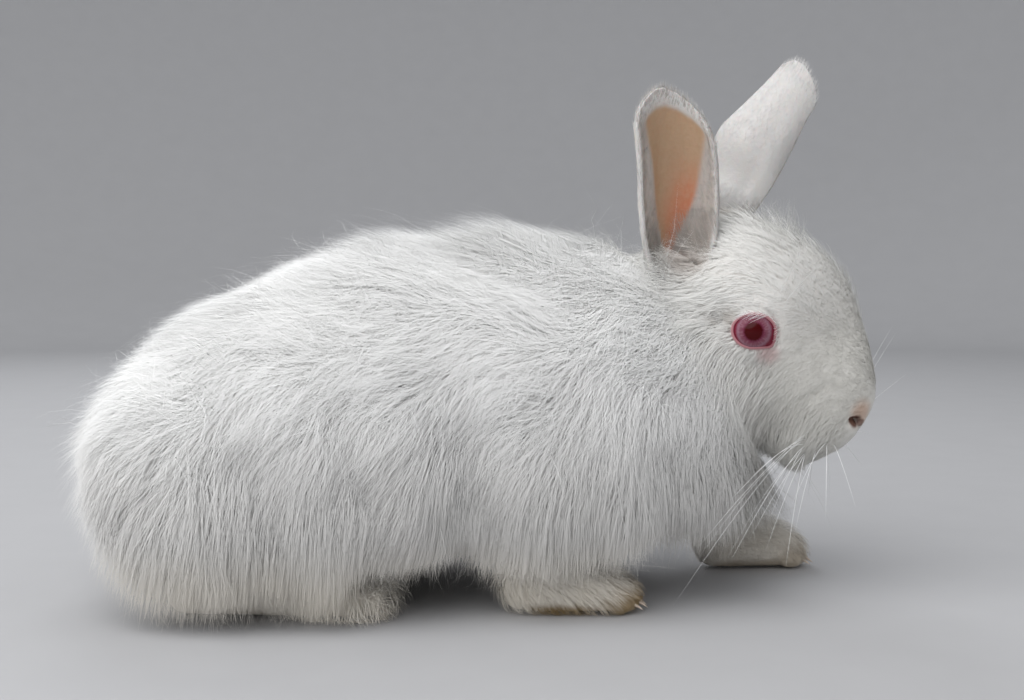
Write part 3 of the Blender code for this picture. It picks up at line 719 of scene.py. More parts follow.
class Roots:
    """Places on the skin from which hairs grow, so many to the square millimetre."""

    def __init__(self, obj, seed):
        mesh = obj.data
        count = len(mesh.polygons)
        self.rng = np.random.default_rng(seed)
        self.points = in_plan(coordinates(obj))
        corners = np.empty(count * 3, int)
        mesh.loops.foreach_get("vertex_index", corners)
        self.corners = corners.reshape(-1, 3)
        uvs = np.empty(count * 6)
        mesh.uv_layers["OFBake"].data.foreach_get("uv", uvs)
        self.uvs = uvs.reshape(-1, 3, 2)
        self.part = np.empty(count, int)
        mesh.polygons.foreach_get("material_index", self.part)
        normals = np.empty(len(mesh.vertices) * 3)
        mesh.vertices.foreach_get("normal", normals)
        self.normals = normals.reshape(-1, 3)
        a, b, c = (self.points[self.corners[:, k]] for k in range(3))
        self.area = np.linalg.norm(np.cross(b - a, c - a), axis=1) / 2
        self.middle = (a + b + c) / 3

    def sow(self, part, density):
        """Roots on one part of the skin, as dense as density says from each face's middle and normal."""
        faces = np.nonzero(self.part == SKIN_PARTS.index(part))[0]
        facing = unit(self.normals[self.corners[faces]].mean(1))
        wanted = self.area[faces] * density(self.middle[faces], facing)
        self.sown_area = self.area[faces][wanted > 0].sum()
        count = self.rng.poisson(wanted)
        chosen = np.repeat(faces, count)
        weights = self.rng.dirichlet((1, 1, 1), len(chosen))
        corners = self.corners[chosen]
        return {
            "at": (self.points[corners] * weights[..., None]).sum(1),
            "out": unit((self.normals[corners] * weights[..., None]).sum(1)),
            "uv": (self.uvs[chosen] * weights[..., None]).sum(1),
        }


def hem(x):
    table = np.array(HEM, float)
    return np.interp(x, table[:, 0], table[:, 1])


def grow(field, roots, length, height, way, hang, stray, rise, steps):
    """Paths of hairs from their roots: each rises to its own height and follows the coat's lie."""
    place = roots["at"] - roots["out"] * 0.5
    heading = roots["out"].copy()
    path, outs = [place], [roots["out"]]
    pace = length / steps
    for k in range(steps):
        gap, out = field.at(place)
        lie = way(place, out) + stray
        lie = unit(lie - out * (lie * out).sum(1)[:, None])
        goal = height * ((k + 1.0) / steps) ** rise
        climb = np.clip((goal - gap) / pace, -0.45, 0.94)[:, None]
        turn = lie * np.sqrt(1 - climb**2) + out * climb
        drop = (hang * np.clip(0.3 - out[:, 2] * 2.2, 0, 1))[:, None] * ((k + 1) / steps) ** 0.6
        turn = unit(turn * (1 - drop) + (lie * 0.3 + np.array((0, 0, -1.0))) * drop)
        heading = unit(heading * (0.25 if k else 0.6) + turn * (0.75 if k else 0.4))
        place = place + heading * pace[:, None]
        place[:, 2] = np.maximum(place[:, 2], 0.5)
        path.append(place)
        outs.append(out)
    return np.stack(path, 1), np.stack(outs, 1)


def trimmed(path, over, floor_of):
    """Cuts each path where it passes below the hem."""
    steps = path.shape[1] - 1
    gap = path[:, :, 2] - floor_of(path[:, :, 0]) - over[:, None]
    below = gap < 0
    below[:, 0] = False
    rows = np.arange(len(path))
    first = np.maximum(below.argmax(1), 1)
    before, after = gap[rows, first - 1], gap[rows, first]
    crossing = first - 1 + np.clip(before / np.maximum(before - after, 1e-6), 0.25, 1)
    last = np.where(below.any(1), crossing, steps)
    t = np.linspace(0, 1, steps + 1)[None, :] * last[:, None]
    i = np.minimum(t.astype(int), steps - 1)
    rest = (t - i)[..., None]
    rows = rows[:, None]
    return path[rows, i] * (1 - rest) + path[rows, i + 1] * rest


def gathered(rng, path, area, spacing, pull):
    """Draws hairs towards the middle hair of their lock, most at the tips. Locks are spacing apart."""
    roots = path[:, 0]
    count = min(max(int(area / spacing**2), 2), len(roots))
    leaders = rng.choice(len(roots), count, replace=False)
    tree = KDTree(count)
    for k, leader in enumerate(leaders):
        tree.insert(roots[leader], k)
    tree.balance()
    own = leaders[[tree.find(root)[1] for root in roots]]
    t = np.linspace(0, 1, path.shape[1])[None, :, None]
    return path + (path[own] - path) * pull[:, None, None] * t**1.5


def curled(rng, path, outs, size, wave):
    """Gives hairs a soft crimp: size in millimetres at the tip, wave in turns along the hair."""
    steps = path.shape[1]
    t = np.linspace(0, 1, steps)[None, :, None]
    along = unit(np.gradient(path, axis=1))
    side = unit(np.cross(along, outs))
    start = rng.uniform(0, 2 * math.pi, (len(path), 1, 1))
    turns = wave[:, None, None] * 2 * math.pi
    sway = np.sin(start + turns * t) - np.sin(start)
    lift = np.cos(start * 1.7 + turns * t) - np.cos(start * 1.7)
    return path + (side * sway + outs * lift * 0.6) * size[:, None, None] * t


def ribbons(name, roots, path, outs, width, finish, rng, roll=0.2, softness=0.95, taper=0.7):
    """Flat, tapered hairs along their paths, as one mesh. Its faces' normals lean towards the skin's own."""
    count, levels = path.shape[:2]
    along = unit(np.gradient(path, axis=1))
    side = unit(np.cross(along, outs))
    up = np.cross(side, along)
    turn = rng.normal(size=(count, 1, 1)) * roll
    flat = side * np.cos(turn) + up * np.sin(turn)
    face = up * np.cos(turn) - side * np.sin(turn)
    t = np.linspace(0, 1, levels)
    shape = (1 - t) ** taper
    half = width[:, None, None] / 2 * shape[None, :, None]
    left, right = path - flat * half, path + flat * half
    body = np.stack((left[:, :-1], right[:, :-1]), 2).reshape(count, -1, 3)
    points = np.concatenate((body, path[:, -1:]), 1)
    each = 2 * levels - 1
    soft = softness * np.clip((face * outs).sum(-1, keepdims=True), 0, 1)
    normals = unit(face * (1 - soft) + outs * soft)
    normals = np.concatenate((np.repeat(normals[:, :-1], 2, 1), normals[:, -1:]), 1)
    quads = levels - 2
    rows = np.array([(2 * k, 2 * k + 1, 2 * k + 3, 2 * k + 2) for k in range(quads)]).reshape(-1)
    loops = np.concatenate((rows, (each - 3, each - 2, each - 1)))
    loops = (loops[None, :] + each * np.arange(count)[:, None]).ravel()
    starts = np.concatenate((4 * np.arange(quads), (4 * quads,)))
    starts = (starts[None, :] + (4 * quads + 3) * np.arange(count)[:, None]).ravel()
    mesh = bpy.data.meshes.new(name)
    mesh.vertices.add(count * each)
    mesh.vertices.foreach_set("co", placed(points).astype(np.float32).ravel())
    mesh.loops.add(len(loops))
    mesh.loops.foreach_set("vertex_index", loops.astype(np.int32))
    mesh.polygons.add(len(starts))
    mesh.polygons.foreach_set("loop_start", starts.astype(np.int32))
    mesh.update(calc_edges=True)
    v = np.concatenate((np.repeat(t[:-1], 2), t[-1:]))
    u = np.concatenate((np.tile((-0.5, 0.5), levels - 1), (0.0,)))
    patch = roots["uv"][:, None, :] + np.stack((u, v - 0.5), -1)[None] * TUFT_PATCH
    mesh.uv_layers.new(name="OFBake")
    mesh.uv_layers["OFBake"].data.foreach_set("uv", patch.reshape(-1, 2)[loops].astype(np.float32).ravel())
    mesh.shade_smooth()
    mesh.normals_split_custom_set_from_vertices(normals.reshape(-1, 3))
    mesh.materials.append(finish)
    obj = bpy.data.objects.new(name, mesh)
    bpy.context.scene.collection.objects.link(obj)
    return obj


class Pattern:
    """What varies over a surface: a node's output, with sums written as Python."""

    def __init__(self, tree, socket=None):
        self.tree, self.socket = tree, socket

    def node(self, kind, settings=None, inputs=None, output=0):
        made = self.tree.nodes.new(kind)
        for key, value in (settings or {}).items():
            setattr(made, key, value)
        for key, value in (inputs or {}).items():
            if isinstance(value, Pattern):
                self.tree.links.new(value.socket, made.inputs[key])
            else:
                made.inputs[key].default_value = value
        return Pattern(self.tree, made.outputs[output])

    def maths(self, operation, *others, clamp=False):
        inputs = dict(enumerate((self, *others)))
        return self.node("ShaderNodeMath", {"operation": operation, "use_clamp": clamp}, inputs)

    def __add__(self, other):
        return self.maths("ADD", other)

    def __sub__(self, other):
        return self.maths("SUBTRACT", other)

    def __mul__(self, other):
        return self.maths("MULTIPLY", other)

    def __rsub__(self, other):
        return self.node("ShaderNodeMath", {"operation": "SUBTRACT"}, {0: other, 1: self})

    __radd__ = __add__
    __rmul__ = __mul__

    def rise(self, low, high):
        """Zero below low, one above high, smooth between."""
        settings = {"interpolation_type": "SMOOTHSTEP"}
        return self.node("ShaderNodeMapRange", settings, {0: self, 1: low, 2: high, 3: 0.0, 4: 1.0})

    def mix(self, first, second):
        """From the first colour to the second as this goes from zero to one."""
        inputs = {0: self, 6: first, 7: second}
        return self.node("ShaderNodeMix", {"data_type": "RGBA"}, inputs, output=2)

    def part(self, axis):
        return self.node("ShaderNodeSeparateXYZ", None, {0: self}, output=axis)

    def gap_to(self, point):
        """The distance from a place in the plan, in millimetres."""
        ends = {0: self, 1: tuple(placed(point))}
        return self.node("ShaderNodeVectorMath", {"operation": "DISTANCE"}, ends, output=1) * 1000

    def kept(self, name):
        """A number that the piece keeps at each of its points."""
        return self.node("ShaderNodeAttribute", {"attribute_name": name}, output=2)

    def noise(self, scale, detail=3.0):
        return self.node("ShaderNodeTexNoise", None, {"Vector": self, "Scale": scale, "Detail": detail})


class Finish:
    """A material: its shader, the places on the piece, and a bump where it has one."""

    def __init__(self, name, **settings):
        self.material = bpy.data.materials.new(name)
        self.material.use_nodes = True
        self.tree = self.material.node_tree
        self.shader = self.tree.nodes["Principled BSDF"]
        for key, value in settings.items():
            self.shader.inputs[key.replace("_", " ")].default_value = value
        self.place = Pattern(self.tree).node("ShaderNodeTexCoord", output=3)
        self.height = (self.place.part(2) - float(SHIFT[2])) * 1000

    def link(self, socket, pattern):
        self.tree.links.new(pattern.socket, self.shader.inputs[socket])

    def bump(self, pattern, distance, strength=0.6):
        inputs = {"Height": pattern, "Distance": distance * MM, "Strength": strength}
        self.link("Normal", pattern.node("ShaderNodeBump", None, inputs))


WHITE = (0.95, 0.95, 0.94, 1)
CREAM = (0.82, 0.76, 0.65, 1)
# The gold-brown stain of the soles, made darker than the stain alone to paint the shade on the feet.
STAIN_AND_SHADE = (0.30, 0.20, 0.08, 1)


def stained_and_shaded(finish, colour, part):
    """The marks that skin and coat share: cream low down, gold soles deepened as painted shade, pink and
    peach
    about the face. Painted shade too: greyer towards the bottom (in part soiled wool), dark grey under the
    throat, grey about the muzzle, brownish at the ears' roots, along the creases behind the eyes and dark in
    the nostrils.
    """
    place, height = finish.place, finish.height
    if part in ("body", "paw"):
        # Painted shade: greyer towards the bottom, where the lower flanks and feet turn from the light; in
        # part grey soiled wool.
        colour = (height.rise(74, 14) * 0.9).mix(colour, (0.66, 0.65, 0.63, 1))
        colour = (height.rise(30, 6) * (0.35 + place.noise(60, 1.0) * 0.5)).mix(colour, CREAM)
    if part == "body":
        # Painted shade: dark grey under the chin and down the chest, where the head shades them.
        throat_shade = place.gap_to((84, 0, 40))
        colour = (throat_shade.rise(48, 18) * 0.85).mix(colour, (0.42, 0.41, 0.38, 1))
    # Gold-brown stains on the soles and heels, deepened as painted shade.
    feet = ("forepaw_right", "forepaw_left", "hind_foot_left", "hind_foot_right")
    for name in feet if part == "paw" else ():
        table = LIMBS[name]
        ball = place.gap_to((table[-2][0] + 1, table[-2][1], 1))
        heel = place.gap_to((table[2][0], table[2][1], 0))
        mark = ball.rise(15, 7) * height.rise(15, 5) + heel.rise(15, 9) * height.rise(5, 2)
        strength = {"forepaw_right": 1.0, "forepaw_left": 0.5}.get(name, 0.15)
        mark = mark.maths("MINIMUM", 1.0) * (0.6 + place.noise(140) * 0.6)
        colour = (mark * strength).mix(colour, STAIN_AND_SHADE)
    if part == "head":
        # Painted shade: the front of the face greyer about the muzzle.
        muzzle_shade = place.gap_to(from_head((42, 0, -4)))
        colour = (muzzle_shade.rise(56, 24) * 0.85).mix(colour, (0.70, 0.69, 0.65, 1))
    for side in (-1, 1) if part == "head" else ():
        # Painted shade: brownish grey at the root of each ear, where its cup meets the head.
        ear_root_shade = place.gap_to(EARS["left" if side > 0 else "right"]["root"] + np.array((0, side * -6, 14)))
        colour = (ear_root_shade.rise(13, 5) * 0.5).mix(colour, (0.50, 0.42, 0.37, 1))
        tear = place.gap_to(from_head((8.6, side * 24.4, -3.0)))
        colour = (tear.rise(5.5, 1.0) * (0.25 + place.noise(500) * 0.5)).mix(colour, (0.70, 0.40, 0.40, 1))
        tinge = place.gap_to(from_head(NOSTRIL * (1, side, 1) + (0.6, -side * 0.8, 3.0)))
        colour = (tinge.rise(7.0, 2.0) * 0.75).mix(colour, (0.52, 0.34, 0.24, 1))
        # Painted shade: the openings of the nostrils and their slits dark brown.
        nostril = place.gap_to(from_head(NOSTRIL * (1, side, 1) + (-0.4, -side * 1.6, -0.3)))
        colour = nostril.rise(3.0, 1.6).mix(colour, (0.13, 0.06, 0.04, 1))
        slit = place.gap_to(from_head(NOSTRIL * (1, side, 1) + (2.0, -side * 3.6, 0.4)))
        colour = (slit.rise(2.0, 1.0) * 0.8).mix(colour, (0.14, 0.06, 0.04, 1))
        # Painted shade: brown-grey along the crease behind each eye.
        for along in (0.0, 0.5, 1.0):
            crease = (-8 - 10 * along, side * (23.4 + 0.6 * along), -1.8 - 12 * along)
            hollow = place.gap_to(from_head(crease))
            colour = (hollow.rise(5.0, 0.5) * 0.5).mix(colour, (0.42, 0.37, 0.32, 1))
    return colour


def coat_finish(name, part, base, roughness):
    """A coat's own colour, a little uneven, with the marks and painted shade it shares with the skin."""
    made = Finish(name, Roughness=roughness)
    shade = made.place.noise(45, 0.0) * 0.5 + made.place.noise(420, 0.0) * 0.5
    tone = shade.rise(0.3, 0.7).mix(tuple(c * 0.93 for c in base[:3]) + (1,), base)
    made.link("Base Color", stained_and_shaded(made, tone, part))
    return made.material


def skin_finish(name, part, base, roughness=0.6):
    made = Finish(name, Roughness=roughness)
    fine = made.place.noise(900, 4.0)
    colour = stained_and_shaded(made, fine.rise(0.3, 0.75).mix(tuple(c * 0.92 for c in base[:3]) + (1,), base), part)
    made.link("Base Color", (made.place.kept("lid") * 0.9).mix(colour, (0.32, 0.08, 0.105, 1)))
    made.bump(fine, 0.25)
    return made.material


def ear_skin_finish():
    """Thin skin: tan in the cup, redder low down and towards one edge as painted glow of light shining
    through it, and painted pale grey where it is furred, as painted shade, darker still on the furred bands
    inside the cup.
    """
    made = Finish("ear_skin", Roughness=0.5, Subsurface_Weight=0.15, Subsurface_Scale=0.002)
    place = made.place
    fine = place.noise(700, 4.0)
    broad = place.noise(90, 3.0)
    bare = place.kept("bare")
    # Painted glow of light shining through the thin ear: redder low down and towards one edge.
    warm = (place.kept("warm") + (broad - 0.5) * 0.35).rise(0.1, 0.8)
    colour = warm.mix((0.40, 0.26, 0.155, 1), (0.50, 0.18, 0.09, 1))
    colour = (fine.rise(0.3, 0.75) * 0.2).mix(colour, (0.50, 0.34, 0.24, 1))
    shape = {"feature": "DISTANCE_TO_EDGE"}
    veins = place.node("ShaderNodeTexVoronoi", shape, {"Vector": place, "Scale": 95.0})
    lines = (0.05 - veins).maths("MULTIPLY", 16.0, clamp=True) * broad.rise(0.42, 0.62)
    colour = (lines * 0.22).mix(colour, (0.42, 0.22, 0.14, 1))
    # Painted shade: the furred skin pale grey rather than white, darker still on the furred bands inside the
    # cup.
    edge = place.kept("cup").mix((0.62, 0.60, 0.58, 1), (0.46, 0.41, 0.375, 1))
    colour = (bare + (fine - 0.5) * 0.12).rise(0.05, 0.9).mix(edge, colour)
    made.link("Base Color", colour)
    made.bump(fine + broad, 0.3)
    return made.material


def eye_finish(side):
    """A wet eye: deep red pupil, lilac and pink rays, a darker ring at the edge, and painted shade of the lid
    over its top.
    """
    name = "eye_left" if side > 0 else "eye_right"
    made = Finish(name, Roughness=0.3, Coat_Weight=0.15, Coat_Roughness=0.02)
    made.shader.inputs["Specular IOR Level"].default_value = 0.05
    middle = placed(from_head(EYE * (1, side, 1)))
    turn = head_matrix().to_euler()
    settings = {"vector_type": "TEXTURE"}
    inputs = {"Vector": made.place, "Location": tuple(middle), "Rotation": tuple(turn)}
    local = made.place.node("ShaderNodeMapping", settings, inputs)
    x, z = local.part(0) * 1000, local.part(2) * 1000
    radius = (x * x + z * z).maths("SQRT")
    angle = x.maths("ARCTAN2", z)
    rays = made.place.node("ShaderNodeCombineXYZ", None, {0: angle * 2.4, 1: radius * 0.16, 2: 0.0})
    streak = rays.noise(4.0, 5.0)
    wander = radius + (streak - 0.5) * 0.9
    colour = wander.rise(2.5, 3.3).mix((0.05, 0.001, 0.002, 1), (0.14, 0.028, 0.055, 1))
    colour = wander.rise(3.0, 4.3).mix(colour, (0.20, 0.072, 0.10, 1))
    colour = wander.rise(4.1, 5.0).mix(colour, (0.25, 0.125, 0.165, 1))
    colour = (streak.rise(0.42, 0.68) * wander.rise(3.0, 3.8) * 0.35).mix(colour, (0.33, 0.19, 0.235, 1))
    colour = wander.rise(4.9, 5.9).mix(colour, (0.17, 0.012, 0.03, 1))
    # Painted shade: darker towards the top, under the lid and lashes.
    upper = (x * math.sin(EYE_TILT) + z * math.cos(EYE_TILT)).rise(1.2, 5.6)
    colour = (upper * 0.5).mix(colour, (0.12, 0.012, 0.026, 1))
    colour = radius.rise(6.4, 7.3).mix(colour, (0.45, 0.12, 0.14, 1))
    made.link("Base Color", colour)
    return made.material


def eyeball(side):
    """A ball with its pole towards the light, flatter round the clear part, which stands out a little."""
    name = "eye_left" if side > 0 else "eye_right"
    clear_selection()
    bpy.ops.mesh.primitive_uv_sphere_add(segments=64, ring_count=48, radius=1)
    obj = bpy.context.object
    obj.name = "wet_" + name
    ball = coordinates(obj)
    out = ball[:, 2]
    radius = EYE_RADIUS + 0.55 * step(0.62, 0.95, out)
    local = np.stack((ball[:, 0], out * side, ball[:, 1]), -1) * radius[:, None] + EYE * (1, side, 1)
    move_to(obj, placed(from_head(local)))
    edit(obj, lambda: bpy.ops.mesh.normals_make_consistent(inside=False))
    only(obj)
    bpy.ops.object.shade_smooth()
    obj.data.materials.append(eye_finish(side))
    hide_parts(name)
    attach(obj, "root")
    return obj


def tapered(name, lines, radii, sides, finish):
    """Fine round hairs or claws along lines, each tapering to a point, as one mesh."""
    points, faces = [], []
    for line, radius in zip(lines, radii):
        line = np.asarray(line, float)
        along = unit(np.gradient(line, axis=0))
        across = unit(np.cross(along, (0.3, 0.2, 0.93)))
        up = np.cross(across, along)
        base = len(points)
        last = len(line) - 1
        for k in range(last):
            for i in range(sides):
                a = 2 * math.pi * i / sides
                reach = radius * (1 - k / last) ** 0.7
                points.append(line[k] + (across[k] * math.cos(a) + up[k] * math.sin(a)) * reach)
        points.append(line[last])
        for k in range(last - 1):
            for i in range(sides):
                j = (i + 1) % sides
                row = base + k * sides
                faces.append((row + i, row + j, row + sides + j, row + sides + i))
        tip = len(points) - 1
        row = base + (last - 1) * sides
        faces += [(row + i, row + (i + 1) % sides, tip) for i in range(sides)]
        faces.append(tuple(base + i for i in reversed(range(sides))))
    mesh = bpy.data.meshes.new(name)
    mesh.from_pydata(placed(points), [], faces)
    obj = bpy.data.objects.new(name, mesh)
    bpy.context.scene.collection.objects.link(obj)
    obj.data.materials.append(finish)
    edit(obj, lambda: bpy.ops.mesh.normals_make_consistent(inside=False))
    only(obj)
    bpy.ops.object.shade_smooth()
    return obj


# The whiskers of one side: each root in the head's frame, the way from it to the tip, and how far the middle
# bows out.
WHISKERS = (
    ((34, 14.8, -14), (-1, 57, -50), 6),
    ((36, 13.5, -18), (3, 51, -41), 5),
    ((34, 14.8, -14), (-7, 60, -38), 7),
    ((38, 12.5, -20), (3, 40, -32), 4),
    ((40, 12, -17), (11, 23, -20), 3),
    ((38, 12.5, -20), (8, 30, -25), 4),
    ((43, 10.5, -12), (14, 23, 7), 3),
    ((43, 10.5, -12), (15, 18, -6), 3),
    ((41, 11.5, -13), (15, 19, -16), 3),
    ((35, 14.2, -16), (-11, 60, -27), 7),
    ((36, 13.5, -18), (-10, 58, -19), 6),
    ((41, 11.5, -13), (0, 46, -14), 5),
    ((36, 13.5, -18), (1, 48, -23), 5),
    ((38, 12.5, -20), (17, 27, -28), 4),
    ((35, 14, -16), (-2, 40, -48), 7),
    ((37, 13, -19), (2, 24, -40), 5),
    ((42, 11, -10), (-4, 38, 12), 5),
    ((44, 9.5, -8), (6, 26, 26), 3),
    ((44, 9.5, -8), (-4, 28, 34), 3),
    ((43, 10, -6), (-10, 30, 42), 3),
    ((2, 22.5, 12), (2, 20, 20), 3),
    ((-1, 22.5, 13), (-6, 18, 20), 3),
)


def whisker(start, reach, bow, rng):
    """A long hair with a slow bend, from its root to its tip."""
    t = np.linspace(0, 1, 14)[:, None]
    reach = reach * rng.uniform(0.85, 1.15) + rng.normal(size=3) * 1.5
    line = from_head(start + reach * t)
    aim = unit(line[-1] - line[0])
    bend = unit(np.array((0, 0, 1.0)) - aim * aim[2]) * bow * rng.uniform(0.15, 0.6)
    return line + bend * np.sin(t**0.8 * math.pi)


def whiskers(finish):
    """Long white hairs from the pads of the lip, most hanging down and back, and a few over the brow."""
    rng = np.random.default_rng(31)
    lines, radii = [], []
    for side in (-1, 1):
        mirror = np.array((1, side, 1))
        for start, reach, bow in WHISKERS:
            if side < 0 and start[0] > 30 and reach[2] > 0:
                continue
            lines.append(whisker(np.array(start) * mirror, np.array(reach) * mirror, bow, rng))
            radii.append(rng.uniform(0.07, 0.12))
    obj = tapered("whiskers", lines, radii, 4, finish)
    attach(obj, "root")
    return obj


def lashes(finish):
    """Fine white hairs from the upper lid that lie back over the corner of the eye."""
    rng = np.random.default_rng(41)
    lines, radii = [], []
    c, s = math.cos(EYE_TILT), math.sin(EYE_TILT)
    t = np.linspace(0, 1, 7)
    for side in (-1, 1):
        for angle in np.radians(np.linspace(50, 140, 32)):
            reach = lid_reach(angle) + rng.uniform(0.2, 0.9)
            length = rng.uniform(4.0, 6.8)
            aim = math.radians(rng.normal(203, 8))
            u = reach * math.cos(angle) + length * t * math.cos(aim)
            v = reach * math.sin(angle) + length * t * math.sin(aim)
            ball = np.sqrt(np.clip(EYE_RADIUS**2 - u**2 - v**2, 1, None))
            out = EYE[1] + ball + 1.35 - 0.3 * t + rng.uniform(-0.2, 0.2)
            local = np.stack((u * c + v * s, out, v * c - u * s), -1) * (1, side, 1)
            lines.append(from_head(local))
            radii.append(rng.uniform(0.035, 0.055))
    obj = tapered("lashes", lines, radii, 4, finish)
    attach(obj, "root")
    return obj


def claws(finish):
    lines, radii = [], []
    for name, table in LIMBS.items():
        if "leg" in name:
            continue
        x, y = table[-2][:2]
        for k, offset in enumerate(TOES):
            start = np.array((x + toe_lead(k) + 2.6, y + offset, 3.6))
            t = np.linspace(0, 1, 7)[:, None]
            lines.append(start + t * (4.6, 0, 0.0) + t**2 * (0.2, 0, -2.2))
            radii.append(0.8)
    obj = tapered("claws", lines, radii, 10, finish)
    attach(obj, "root")
    return obj


long_waves, short_waves, fine_waves, ridge_waves = Waves(3, 70), Waves(4, 19), Waves(6, 7), Waves(8, 34)
# A tuft that stands up behind the ears: its place, radii, and how far it lifts the coat.
TUFT = ((4, -10, 108), (13, 22, 16), 6.0)
# Where the coat is deeper or shallower than elsewhere: place, radii, change in depth.
DEPTHS = (
    ((72, 0, 42), (16, 34, 26), 15.0),
    ((-75, 0, 100), (34, 40, 22), -3.0),
    ((-128, 0, 70), (16, 40, 26), -3.0),
    ((-24, -46, 30), (12, 20, 22), -3.5),
    ((-24, 46, 30), (12, 20, 22), -3.5),
    ((-142, 0, 45), (18, 22, 24), -8.5),
)


def close_to_head(p, far=1.4):
    """One where the wool meets the head, fading to none at so many times the head's size from its middle."""
    return step(far, 1.02, np.linalg.norm(to_head(p) / (46, 30, 33), axis=1))


def ruff(p):
    """One on the neck and shoulders, where the wool sweeps back and down in long smooth hairs."""
    return close_to_head(p, 1.9)


def cloudy(p):
    """One on the back and the upper flanks, where the wool stands up most."""
    return step(46, 74, p[:, 2]) * step(48, 8, p[:, 0])


def coat_way(p, out):
    """Back along the top, down and a little back on the sides, and as the face's fur beside it."""
    low = np.clip((98 - p[:, 2]) / 58, 0, 1)[:, None]
    way = np.array((-1, 0, -0.25)) * (1 - low) + np.array((-0.3, 0, -1.2)) * low
    way = way + long_waves.at(p) * 0.2 + short_waves.at(p) * 0.2 + fine_waves.at(p) * 0.14
    centre, radii, _ = TUFT
    way = way + bell(p, (80, 0, 44), (18, 34, 24))[:, None] * (1.6, 0, 0.3)
    way = way + bell(p, centre, radii)[:, None] * (p - centre) * 0.04
    share = ruff(p)[:, None]
    return way * (1 - share) + face_way(p, out) * share


def coat_depth(p, out):
    """How deep the long coat is over points of the body: shallow in front and below, deeper behind."""
    depth = 8 + 6.0 * step(75, 32, p[:, 0])
    depth = np.where(out[:, 2] < 0, depth + (8 - depth) * -out[:, 2], depth)
    for centre, radii, change in DEPTHS:
        depth = depth + change * bell(p, centre, radii)
    near_head = close_to_head(p)
    depth = (depth - 2.2 * step(0.2, 0.8, out[:, 2])) * (1 - 0.65 * near_head)
    flank = step(88, 48, p[:, 2]) * (1 - near_head)
    depth = depth + ridge_waves.at(p * (1, 1, 0.25))[:, 0] * (0.5 + 1.7 * flank)
    depth = depth + short_waves.at(p)[:, 0] * (0.3 + 0.7 * flank)
    depth = depth + fine_waves.at(p)[:, 1] * (0.1 + 0.4 * flank)
    return depth + bell(p, TUFT[0], TUFT[1]) * TUFT[2]


def face_way(p, out):
    """From the nose up over the brow, back past the eye, and down over the cheek."""
    q = to_head(p)
    up = step(4, 18, q[:, 2])[:, None]
    low = step(2, -16, q[:, 2])[:, None]
    crown, side, cheek = np.array((-0.77, 0, 0.64)), np.array((-1, 0, -0.12)), np.array((-0.66, 0, -0.76))
    way = side * (1 - up) * (1 - low) + crown * up + cheek * low
    chin = (step(-14, -24, q[:, 2]) * step(12, 28, q[:, 0]))[:, None]
    way = way * (1 - chin) + np.array((-0.3, 0, -0.95)) * chin
    centre = np.where(q[:, 1:2] < 0, from_head((0, -24.0, 0)), from_head((0, 24.0, 0)))
    away = p - centre
    near = np.exp(-((np.linalg.norm(away, axis=1) / 10) ** 4))[:, None]
    way = way + unit(away) * near * 0.9
    return way + short_waves.at(p) * 0.08 + fine_waves.at(p) * 0.08 + long_waves.at(p) * 0.08


def paw_way(p, out):
    low = step(30, 12, p[:, 2])[:, None]
    return np.array((0.1, 0, -1.0)) * (1 - low) + np.array((0.8, 0, -0.6)) * low + short_waves.at(p) * 0.15


# The most triangles in one piece of coat.
TRIANGLES = 190000
# The size of one hair's patch of the coat's UV map.
TUFT_PATCH = 0.003
# Hairs to the square millimetre.
DOWN_DENSITY = 2.8
WOOL_DENSITY = 1.2
FACE_DENSITY = 4.4
EAR_DENSITY = 4.0
PAW_DENSITY = 3.0


def laid(name, slot, roots, path, outs, width, finish, rng, along, **form):
    """Turns paths into pieces of coat small enough to keep, in order along the animal."""
    each = 2 * (path.shape[1] - 2) + 1
    parts = math.ceil(len(path) * each / TRIANGLES)
    for k, chosen in enumerate(np.array_split(np.argsort(-along), parts)):
        own = {key: value[chosen] for key, value in roots.items()}
        obj = ribbons(f"{name}_{k + 1}", own, path[chosen], outs[chosen], width[chosen], finish, rng, **form)
        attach(obj, "root")


def wool_thickness(share):
    """How many hairs grow on each square millimetre of neck, trunk, haunches and tail."""

    def density(p, facing):
        inside_head = bell(p, (66, -1, 92), (16, 20, 18))
        return share * (1 - 0.75 * step(-0.55, -0.9, facing[:, 2])) * (1 - 0.8 * inside_head)

    return density


def hanging(p, out):
    """One low on the flanks, where the coat hangs past the body to the floor."""
    return step(54, 28, p[:, 2]) * step(-0.8, -0.2, out[:, 2])


def down(field, sown, finish):
    """The dense under layer of the long coat."""
    rng = np.random.default_rng(17)
    roots = sown.sow("body", wool_thickness(DOWN_DENSITY))
    p, out = roots["at"], roots["out"]
    count = len(p)
    reach = rng.uniform(0, 1, count)
    depth = coat_depth(p, out)
    height = depth * (0.64 + 0.3 * reach)
    upright = cloudy(p)
    length = height * rng.uniform(1.4, 1.8, count) + 4 + 2 * ruff(p) + 14 * hanging(p, out)
    stray = rng.normal(size=(count, 3)) * (0.24 + 0.06 * upright)[:, None]
    path, outs = grow(field, roots, length, height, coat_way, np.full(count, 0.8), stray, 0.55, 2)
    path = trimmed(path, rng.normal(size=count) * 3.0 - 3 * rng.uniform(0, 1, count) ** 3, hem)
    path[:, :, 2] = np.maximum(path[:, :, 2], 0.4)
    width = rng.uniform(0.15, 0.22, count)
    form = {"roll": 0.1, "softness": 1.0, "taper": 0.5}
    laid("wool_under", "wool", roots, path, outs, width, finish, rng, p[:, 0], **form)


